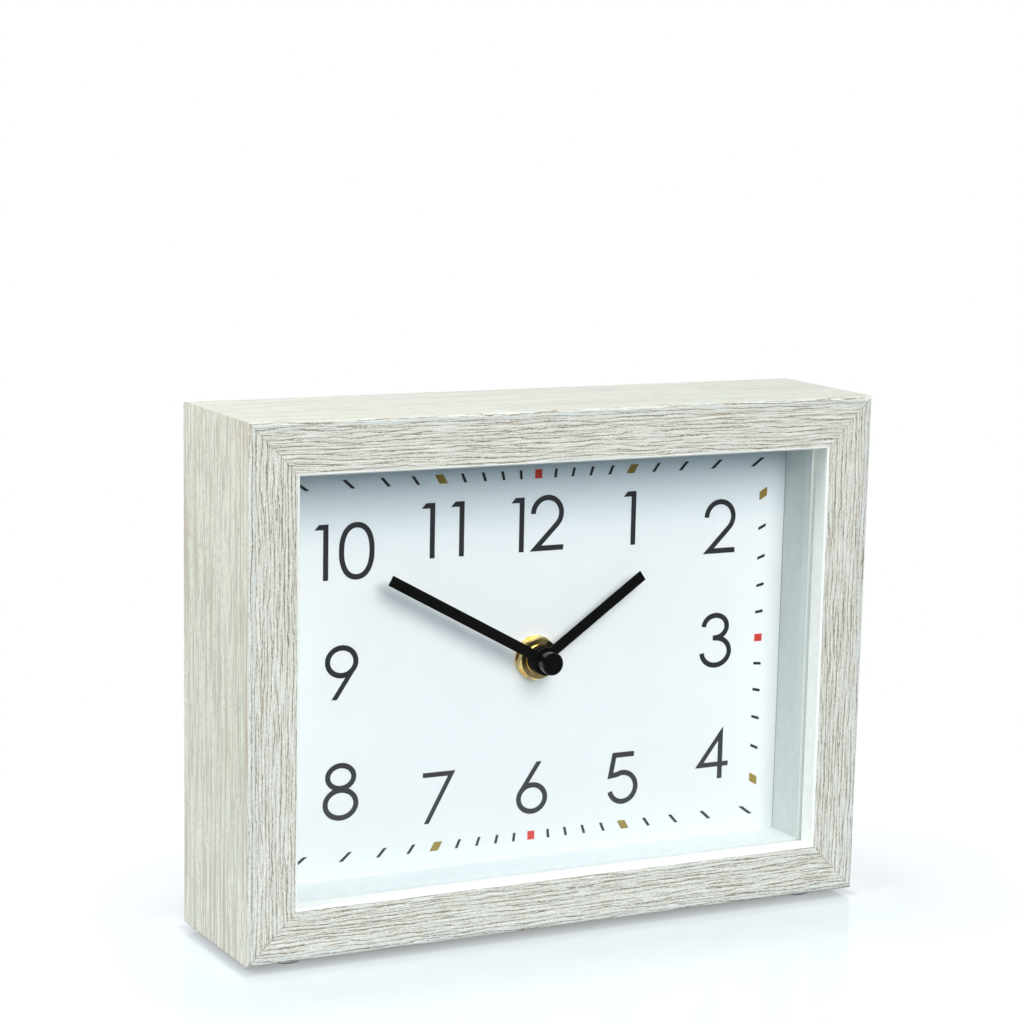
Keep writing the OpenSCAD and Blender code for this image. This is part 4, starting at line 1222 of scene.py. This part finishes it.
@dataclass
class Window:
    """Glass with the white strips before and behind it."""
    strip_ease: float = 0.06 * MM
    spacer_ease: float = 0.15 * MM
    gap_shade_w: float = 0.35 * MM
    glow_end_w: float = 0.1 * MM

    def build(self) -> None:
        """Dresses the strips, the glass and the spacers."""
        sides = ("left", "right", "top", "bottom")
        strips = nodes(*(f"{side}_sight_strip" for side in sides))
        spacers = nodes(*(f"{side}_spacer" for side in sides))
        SatinWhite("white_sight_strip").dress(*strips)
        spacer_low, spacer_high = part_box("left_spacer")
        sill = SatinWhite("white_sill", srgb(239, 243, 243), srgb(237, 241, 241), 0.42)
        sill.dress(spacers[-1])
        # Painted shade: the side and top spacers take a greyer copy of the sill's white; their band against the
        # dial is painted shade and their end against the glass glows with painted light.
        replace(sill, name="white_spacer_painted_shade", colour=srgb(223, 228, 225), shade=srgb(218, 224, 221),
                glow_end_to=spacer_low.y + self.glow_end_w, gap_shade_from=spacer_high.y - self.gap_shade_w).dress(*spacers[:-1])
        for strip in strips:
            ease(strip, self.strip_ease)
        for spacer in spacers:
            ease(spacer, self.spacer_ease)
        low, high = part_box("glass")
        ClearGlass("clear_glass", half_w=high.x, half_h=(high.z - low.z) / 2,
                   middle_z=(high.z + low.z) / 2).dress(node("glass"))


@dataclass
class Dial:
    """Printed paper on its board."""

    def build(self) -> None:
        """Dresses the paper, the inks, the board and the steel points that hold it."""
        DialPaper("dial_paper").dress(node("dial_sheet"))
        PrintInk("charcoal_ink").dress(*nodes("dial_numerals", "minute_marks"))
        PrintInk("red_ink", srgb(214, 58, 46), srgb(226, 84, 70)).dress(node("quarter_marks"))
        PrintInk("gold_ink", srgb(147, 124, 49), srgb(163, 142, 75)).dress(node("hour_marks"))
        Hardboard("dial_hardboard").dress(node("dial_board"))
        PlainSteel("point_steel").dress(node("board_points"))


@dataclass
class HandFixing:
    """Brass nut, washer and bush that clamp the movement to the dial."""
    nut_ease: float = 0.15 * MM
    washer_ease: float = 0.08 * MM

    def build(self) -> None:
        """Dresses the brass pieces and the rubber washer."""
        brass = nodes("hex_nut", "brass_washer", "threaded_bush")
        low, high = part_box("hex_nut")
        TurnedBrass("turned_brass", middle_z=(low.z + high.z) / 2).dress(*brass)
        ease(node("hex_nut"), self.nut_ease)
        ease(node("brass_washer"), self.washer_ease)
        SoftRubber("washer_rubber", srgb(30, 30, 31), srgb(40, 40, 41)).dress(node("rubber_washer"))


@dataclass
class Hands:
    """Hour and minute hand with their collets, and the cap nut."""
    hand_ease: float = 0.1 * MM
    cap_ease: float = 0.2 * MM

    def build(self) -> None:
        """Dresses the hands and eases their stamped edges."""
        hands = nodes("hour_hand", "minute_hand", "hour_collet", "minute_collet")
        Lacquer("satin_black_hands", srgb(4, 4, 4), srgb(9, 9, 9), specular=0.05).dress(*hands)
        for hand in hands:
            ease(hand, self.hand_ease)
        Lacquer("gloss_black_cap", srgb(3, 3, 3), srgb(7, 6, 6), 0.08, 0.25).dress(node("cap_nut"))
        ease(node("cap_nut"), self.cap_ease, 3)
        smooth(node("cap_nut"))


@dataclass
class Movement:
    """Battery quartz movement: shell, wheels, motor and electronics, with moulded signs on its back."""
    shell_ease: float = 0.2 * MM
    sign_ease: float = 0.06 * MM
    sign_rise: float = 0.25 * MM
    sign_sink: float = 0.1 * MM
    sign_arm: float = 1.6 * MM
    sign_w: float = 0.6 * MM
    arrow_gap: float = 1.5 * MM
    arrow_w: float = 0.7 * MM
    arrow_turn: float = 110
    arrow_steps: int = 20
    arrow_head: float = 1.1 * MM

    def dress(self) -> None:
        """Dresses the movement's nodes."""
        shell = nodes("movement_shell", "movement_cover", "setting_knob")
        MouldedPlastic("black_moulding").dress(*shell)
        for piece in shell:
            ease(piece, self.shell_ease)
        nylon = MouldedPlastic("white_nylon", srgb(232, 229, 219), srgb(224, 220, 208), 0.38,
                               relief=0.004 * MM, glow=0.15)
        nylon.dress(*nodes("hour_wheel", "minute_wheel", "centre_wheel", "third_wheel", "seconds_wheel",
                           "fifth_wheel", "coil_bobbin"))
        MouldedPlastic("plate_resin", srgb(206, 203, 192), srgb(198, 194, 182), 0.45).dress(
            node("gear_plate"))
        MouldedPlastic("magnet_resin", srgb(60, 62, 67), srgb(70, 72, 78), 0.36).dress(node("rotor"))
        PlainSteel("arbor_steel").dress(node("minute_arbor"))
        PlainSteel("stamped_steel", srgb(178, 182, 187), srgb(150, 154, 160)).dress(
            *nodes("stator", "coil_core"))
        PlainSteel("spring_steel", srgb(206, 206, 202), srgb(180, 180, 176), smooth=0.2).dress(
            *nodes("positive_contact", "negative_contact", "crystal"))
        EnamelledWire("coil_wire").dress(node("coil_winding"))
        SolderMask("circuit_green").dress(node("circuit_board"))
        Lacquer("chip_resin", srgb(12, 12, 13), srgb(18, 18, 19), 0.2, 0.5, 0.6).dress(node("chip"))

    def cross(self, x: float, z: float, y: float, plus: bool) -> bmesh.types.BMesh:
        """Returns a plus or minus sign that stands out behind a face.

        Args:
            x: Middle of the sign.
            z: Middle of the sign.
            y: Depth of the face.
            plus: Whether the sign has its upright arm.

        Returns:
            The shape.
        """
        arm, w = self.sign_arm, self.sign_w / 2
        level = [(-arm, -w), (arm, -w), (arm, w), (-arm, w)]
        crossed = [(-arm, -w), (-w, -w), (-w, -arm), (w, -arm), (w, -w), (arm, -w),
                   (arm, w), (w, w), (w, arm), (-w, arm), (-w, w), (-arm, w)]
        outline = [(x + right, z + up) for right, up in (crossed if plus else level)]
        return raised(outline, y - self.sign_sink, y + self.sign_rise)

    def arrow(self, x: float, z: float, y: float, radius: float) -> bmesh.types.BMesh:
        """Returns a curved arrow round the knob that shows which way it sets the hands.

        Args:
            x: Middle of the knob.
            z: Middle of the knob.
            y: Depth of the face.
            radius: Middle radius of the arrow.

        Returns:
            The shape.
        """
        start = 90 - self.arrow_turn / 2
        turns = [math.radians(start + self.arrow_turn * i / self.arrow_steps)
                 for i in range(self.arrow_steps + 1)]
        tip = turns[-1] + 2 * self.arrow_head / radius
        inner = [(radius - self.arrow_w / 2, a) for a in turns]
        outer = [(radius + self.arrow_w / 2, a) for a in reversed(turns)]
        head = [(radius - self.arrow_head, turns[-1]), (radius, tip), (radius + self.arrow_head, turns[-1])]
        outline = [(x + r * math.cos(a), z + r * math.sin(a)) for r, a in inner + head + outer]
        return raised(outline, y - self.sign_sink, y + self.sign_rise)

    def build(self) -> None:
        """Dresses the nodes and adds the moulded signs."""
        self.dress()
        _, shell_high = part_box("movement_shell")
        _, cover_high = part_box("movement_cover")
        battery_low, battery_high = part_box("battery")
        knob_low, knob_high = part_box("setting_knob")
        knob = (knob_low + knob_high) / 2
        arrow_r = (knob_high.x - knob_low.x) / 2 + self.arrow_gap
        sign_z = battery_high.z + 3 * self.sign_w + self.sign_arm
        plus_x, minus_x = battery_low.x + 2 * self.sign_arm, battery_high.x - 2 * self.sign_arm
        shapes = {"setting_arrow": self.arrow(knob.x, knob.z, cover_high.y, arrow_r),
                  "plus_sign": self.cross(plus_x, sign_z, shell_high.y, True),
                  "minus_sign": self.cross(minus_x, sign_z, shell_high.y, False)}
        signs = [new_piece(name, shape, "case") for name, shape in shapes.items()]
        MouldedPlastic("sign_moulding", srgb(92, 93, 96), srgb(98, 99, 102)).dress(*signs)
        for sign in signs:
            ease(sign, self.sign_ease)


@dataclass
class Cell:
    """Battery in its bay: steel can with a nub and a crimp, and a sleeve."""
    steps: int = 72
    bend_steps: int = 6
    can_in: float = 0.12 * MM
    nub_l: float = 1 * MM
    nub_r: float = 2.7 * MM
    corner: float = 0.5 * MM
    crimp: float = 0.5 * MM
    nub_lap: float = 0.02 * MM
    collar: Pair = (0.8, 0.86)
    dish: Pair = (0.62, 0.58)
    dish_d: float = 0.15 * MM
    sleeve_lap: float = 0.9 * MM
    sleeve_in: float = 0.8
    band: float = 9 * MM

    def rounded(self, end: float, radius: float, way: int) -> list[Pair]:
        """Rounds the corner between an end of the can and its side.

        Args:
            end: Place of the end.
            radius: Radius of the side.
            way: 1 where the side comes after the end, and -1 where it comes before.

        Returns:
            Pairs of a place and a radius.
        """
        turns = [math.radians(90 * i / self.bend_steps) for i in range(self.bend_steps + 1)]
        return [(end + way * self.corner * (1 - math.sin(a)), radius - self.corner * (1 - math.cos(a)))
                for a in turns[::-way]]

    def profile(self, nub: float, low: float, high: float, radius: float) -> list[Pair]:
        """Draws the profile of the steel can from its nub to its flat end.

        Args:
            nub: Place of the nub's end.
            low: Place of the shoulder.
            high: Place of the flat end.
            radius: Radius of the can.

        Returns:
            Pairs of a place and a radius.
        """
        neck = low + self.corner / 2
        collar = [(neck, self.nub_r + self.nub_lap), (neck, self.collar[0] * radius),
                  (low, self.collar[1] * radius)]
        groove = [(low + 3 * self.crimp, radius), (low + 3.5 * self.crimp, radius - self.crimp / 2),
                  (low + 4 * self.crimp, radius)]
        dish = [(high, self.dish[0] * radius), (high - self.dish_d, self.dish[1] * radius),
                (high - self.dish_d, 0.0)]
        return [(nub, 0.0), *self.rounded(nub, self.nub_r, 1), *collar, *self.rounded(low, radius, 1),
                *groove, *self.rounded(high, radius, -1), *dish]

    def build(self) -> None:
        """Makes the can and the sleeve and puts them in the place of the plain battery."""
        low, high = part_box("battery")
        middle = (low + high) / 2
        radius = (high.z - low.z) / 2
        shoulder = low.x + self.nub_l
        profile = self.profile(low.x, shoulder, high.x, radius - self.can_in)
        can = new_piece("battery_can", revolve(profile, middle, self.steps), "battery")
        PlainSteel("can_steel", srgb(205, 206, 208), srgb(178, 180, 184), smooth=0.18).dress(can)
        start, end = shoulder + self.sleeve_lap, high.x - self.sleeve_lap / 2
        inner = radius - self.sleeve_in * self.can_in
        ring = [(start, inner), (start, radius), (end, radius), (end, inner), (start, inner)]
        sleeve = new_piece("battery_sleeve", revolve(ring, middle, self.steps), "battery")
        weld(sleeve)
        PrintedSleeve("battery_sleeve", band_to=start + self.band).dress(sleeve)
        for piece in (can, sleeve):
            smooth(piece)
            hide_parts("battery")


@dataclass
class Back:
    """Back board with its pins."""
    board_ease: float = 0.15 * MM
    pin_ease: float = 0.08 * MM

    def build(self) -> None:
        """Dresses the board and the pins."""
        Hardboard("back_hardboard", srgb(150, 116, 82), srgb(178, 146, 110), srgb(112, 82, 54)).dress(
            node("back_board"))
        ease(node("back_board"), self.board_ease)
        PlainSteel("pin_steel", srgb(188, 186, 180), srgb(150, 148, 142)).dress(node("back_pins"))
        ease(node("back_pins"), self.pin_ease)


@dataclass
class Feet:
    """Four soft pads under the case."""

    def build(self) -> None:
        """Dresses the pads."""
        SoftRubber("pad_rubber", srgb(206, 208, 210), srgb(214, 216, 218)).dress(node("foot_pads"))


def seen_directly(graph: Graph, mirrored: Socket) -> Socket:
    """Tells the rays that see a backdrop from those that only gather its light.

    Args:
        graph: Tree of the finish.
        mirrored: How much of the backdrop shows in gloss.

    Returns:
        1 for rays from the camera and through glass, the share for rays off gloss, and 0 for the rest.
    """
    path = graph.add("ShaderNodeLightPath")
    seen = graph.most(path.outputs["Is Camera Ray"], path.outputs["Is Transmission Ray"])
    return graph.most(seen, graph.times(path.outputs["Is Glossy Ray"], mirrored))


@dataclass(frozen=True)
class GlossyFloor(Finish):
    """White glossy table top whose painted glow grows step by step away from the clock, leaving a painted shade
    round its base, until it is the white background.
    """
    colour: Colour = (0.28, 0.325, 0.36)
    painted_glow_colour: Colour = (1.02, 1.01, 1.0)
    half_w: float = 0.092
    half_d: float = 0.0225
    painted_glow_steps: tuple[Pair, ...] = ((0.0, 0.34), (3 * MM, 0.47), (16 * MM, 0.44), (40 * MM, 0.49), (80 * MM, 0.55))
    whitened: Pair = (0.02, 0.18)
    mirrored: Pair = (-0.28, -0.1)
    cloud: float = 40 * MM
    roughness: Pair = (0.1, 0.13)
    specular: float = 0.35

    def shader(self, graph: Graph) -> Socket:
        """Raises the floor's painted glow step by step away from the clock, leaving a painted shade round its
        base.

        Args:
            graph: Tree of the finish.

        Returns:
            The shader.
        """
        x, y, _ = graph.split(graph.place)
        seen = seen_directly(graph, graph.span(y, *self.mirrored))
        away = graph.length(*(graph.most(graph.minus(graph.size(place), half), 0.0)
                              for place, half in ((x, self.half_w), (y, self.half_d))))
        cloud = graph.clouds(self.cloud, 1.0)
        # Painted light and shade: emission seen by the camera, weaker near the clock and stronger away from it.
        painted_glow: object = self.painted_glow_steps[0][1]
        for (low, start), (high, end) in zip(self.painted_glow_steps, self.painted_glow_steps[1:]):
            painted_glow = graph.plus(painted_glow, graph.span(away, low, high, 0.0, end - start))
        top = graph.surface(
            Base_Color=self.colour,
            Roughness=graph.span(cloud, *MIDDLE, *self.roughness),
            Specular_IOR_Level=self.specular,
            Emission_Color=self.painted_glow_colour,
            Emission_Strength=graph.times(seen, painted_glow),
        )
        white = graph.add("ShaderNodeEmission")
        graph.feed(white.inputs["Strength"], seen)
        return graph.blend(graph.span(away, *self.whitened), top, white.outputs[0])


@dataclass(frozen=True)
class Lamp:
    """A square soft lamp that hangs in a direction from the clock and points at it."""
    name: str
    azimuth: float
    elevation: float
    distance: float
    side: float
    power: float
    colour: Colour = (1.0, 1.0, 1.0)

    def hang(self, aim: Vector) -> None:
        """Hangs the lamp.

        Args:
            aim: Point that the lamp faces.
        """
        data = bpy.data.lights.new(self.name, "AREA")
        data.shape = "SQUARE"
        data.size = self.side
        data.energy = self.power
        data.color = self.colour
        lamp = placed(self.name, data)
        toward = direction(self.azimuth, self.elevation)
        lamp.location = aim + self.distance * toward
        lamp.rotation_euler = toward.to_track_quat("Z", "Y").to_euler()


@dataclass
class Studio:
    """Table, white surroundings, lamps and camera."""
    table: tuple[float, float, float, float] = (-0.9, -0.29, 0.9, 1.3)
    ambient: float = 0.4
    rear_ambient: float = 0.62
    ambient_tint: Colour = (0.7, 1.0, 1.18)
    low_ambient: float = 0.04
    dim_front: float = 0.09
    horizon: Pair = (-0.05, 0.05)
    rear: Pair = (0.0, 0.3)
    front_fade: Pair = (-0.5, 0.2)
    azimuth: float = -27.36
    elevation: float = 11.17
    roll: float = 1.16
    distance: float = 757.2 * MM
    target: tuple[float, float, float] = (-18 * MM, -22.5 * MM, 87 * MM)
    focal: float = 102.09
    sensor: float = 36.0
    shift_y: float = 0.1055
    clip: float = 0.01
    lamps: tuple[Lamp, ...] = (
        Lamp("front_lamp", 0, 30, 1.25, 0.8, 15.2, (1.0, 0.975, 0.94)),
        Lamp("left_lamp", -90, 34, 0.9, 0.4, 6.0, (1.0, 0.99, 0.955)),
        Lamp("right_lamp", 108, 22, 1.25, 0.7, 4.5, (1.0, 0.98, 0.95)),
        Lamp("back_lamp", 202, 18, 1.25, 0.7, 4.0, (1.0, 0.98, 0.95)),
    )

    def lay_floor(self) -> None:
        """Lays the table top."""
        x0, y0, x1, y1 = self.table
        shape = bmesh.new()
        bmesh.ops.create_grid(shape, x_segments=4, y_segments=4, size=0.5)
        bmesh.ops.scale(shape, vec=(x1 - x0, y1 - y0, 1.0), verts=shape.verts)
        bmesh.ops.translate(shape, vec=((x0 + x1) / 2, (y0 + y1) / 2, 0.0), verts=shape.verts)
        floor = meshed("floor", shape)
        GlossyFloor("white_table").dress(floor)

    def set_world(self) -> None:
        """Surrounds the clock with white for the eye, and with a dimmer room for the light on it."""
        graph = Graph("white_studio", world=True)
        _, back, up = graph.split(graph.place)
        path = graph.add("ShaderNodeLightPath")
        mirrored = graph.most(path.outputs["Is Glossy Ray"], path.outputs["Is Transmission Ray"])
        behind = graph.span(back, *self.rear)
        room = graph.times(graph.span(up, *self.horizon, self.low_ambient / self.ambient, 1.0),
                           graph.span(behind, 0.0, 1.0, self.ambient, self.rear_ambient))
        shown = graph.span(back, *self.front_fade, self.dim_front, 1.0)
        level = graph.plus(graph.times(mirrored, shown), graph.times(graph.minus(1.0, mirrored), room))
        level = graph.most(level, path.outputs["Is Camera Ray"])
        shown_white = graph.most(graph.most(mirrored, path.outputs["Is Camera Ray"]), behind)
        sky = graph.add("ShaderNodeBackground")
        graph.feed(sky.inputs["Color"], graph.mix(shown_white, self.ambient_tint, (1.0, 1.0, 1.0)))
        graph.feed(sky.inputs["Strength"], level)
        bpy.context.scene.world = graph.close(sky.outputs[0])

    def set_camera(self) -> None:
        """Stands the camera where the photograph was taken from."""
        azimuth, roll = math.radians(self.azimuth), math.radians(self.roll)
        back = direction(self.azimuth, self.elevation)
        right = Vector((math.cos(azimuth), math.sin(azimuth), 0.0))
        up = back.cross(right)
        tilted_right = math.cos(roll) * right + math.sin(roll) * up
        tilted_up = math.cos(roll) * up - math.sin(roll) * right
        data = bpy.data.cameras.new("camera")
        data.sensor_width = self.sensor
        data.sensor_fit = "HORIZONTAL"
        data.lens = self.focal
        data.shift_y = self.shift_y
        data.clip_start = self.clip
        camera = placed("camera", data)
        turn = Matrix((tilted_right, tilted_up, back)).transposed().to_4x4()
        camera.matrix_world = Matrix.Translation(Vector(self.target) + self.distance * back) @ turn
        bpy.context.scene.camera = camera

    def build(self) -> None:
        """Sets up the whole studio."""
        self.lay_floor()
        self.set_world()
        for lamp in self.lamps:
            lamp.hang(Vector(self.target))
        self.set_camera()
        bpy.context.scene.view_settings.view_transform = "Standard"


def main() -> None:
    """Sets up the studio, builds the clock and reports each part."""
    logging.basicConfig(level=logging.INFO, format="%(name)s: %(message)s")
    parts = (Studio(), Case(), Window(), Dial(), HandFixing(), Hands(), Movement(), Cell(), Back(), Feet())
    for part in parts:
        part.build()
        LOG.info("%s is done", type(part).__name__)
    bpy.context.view_layer.update()


if __name__ == "__main__":
    main()
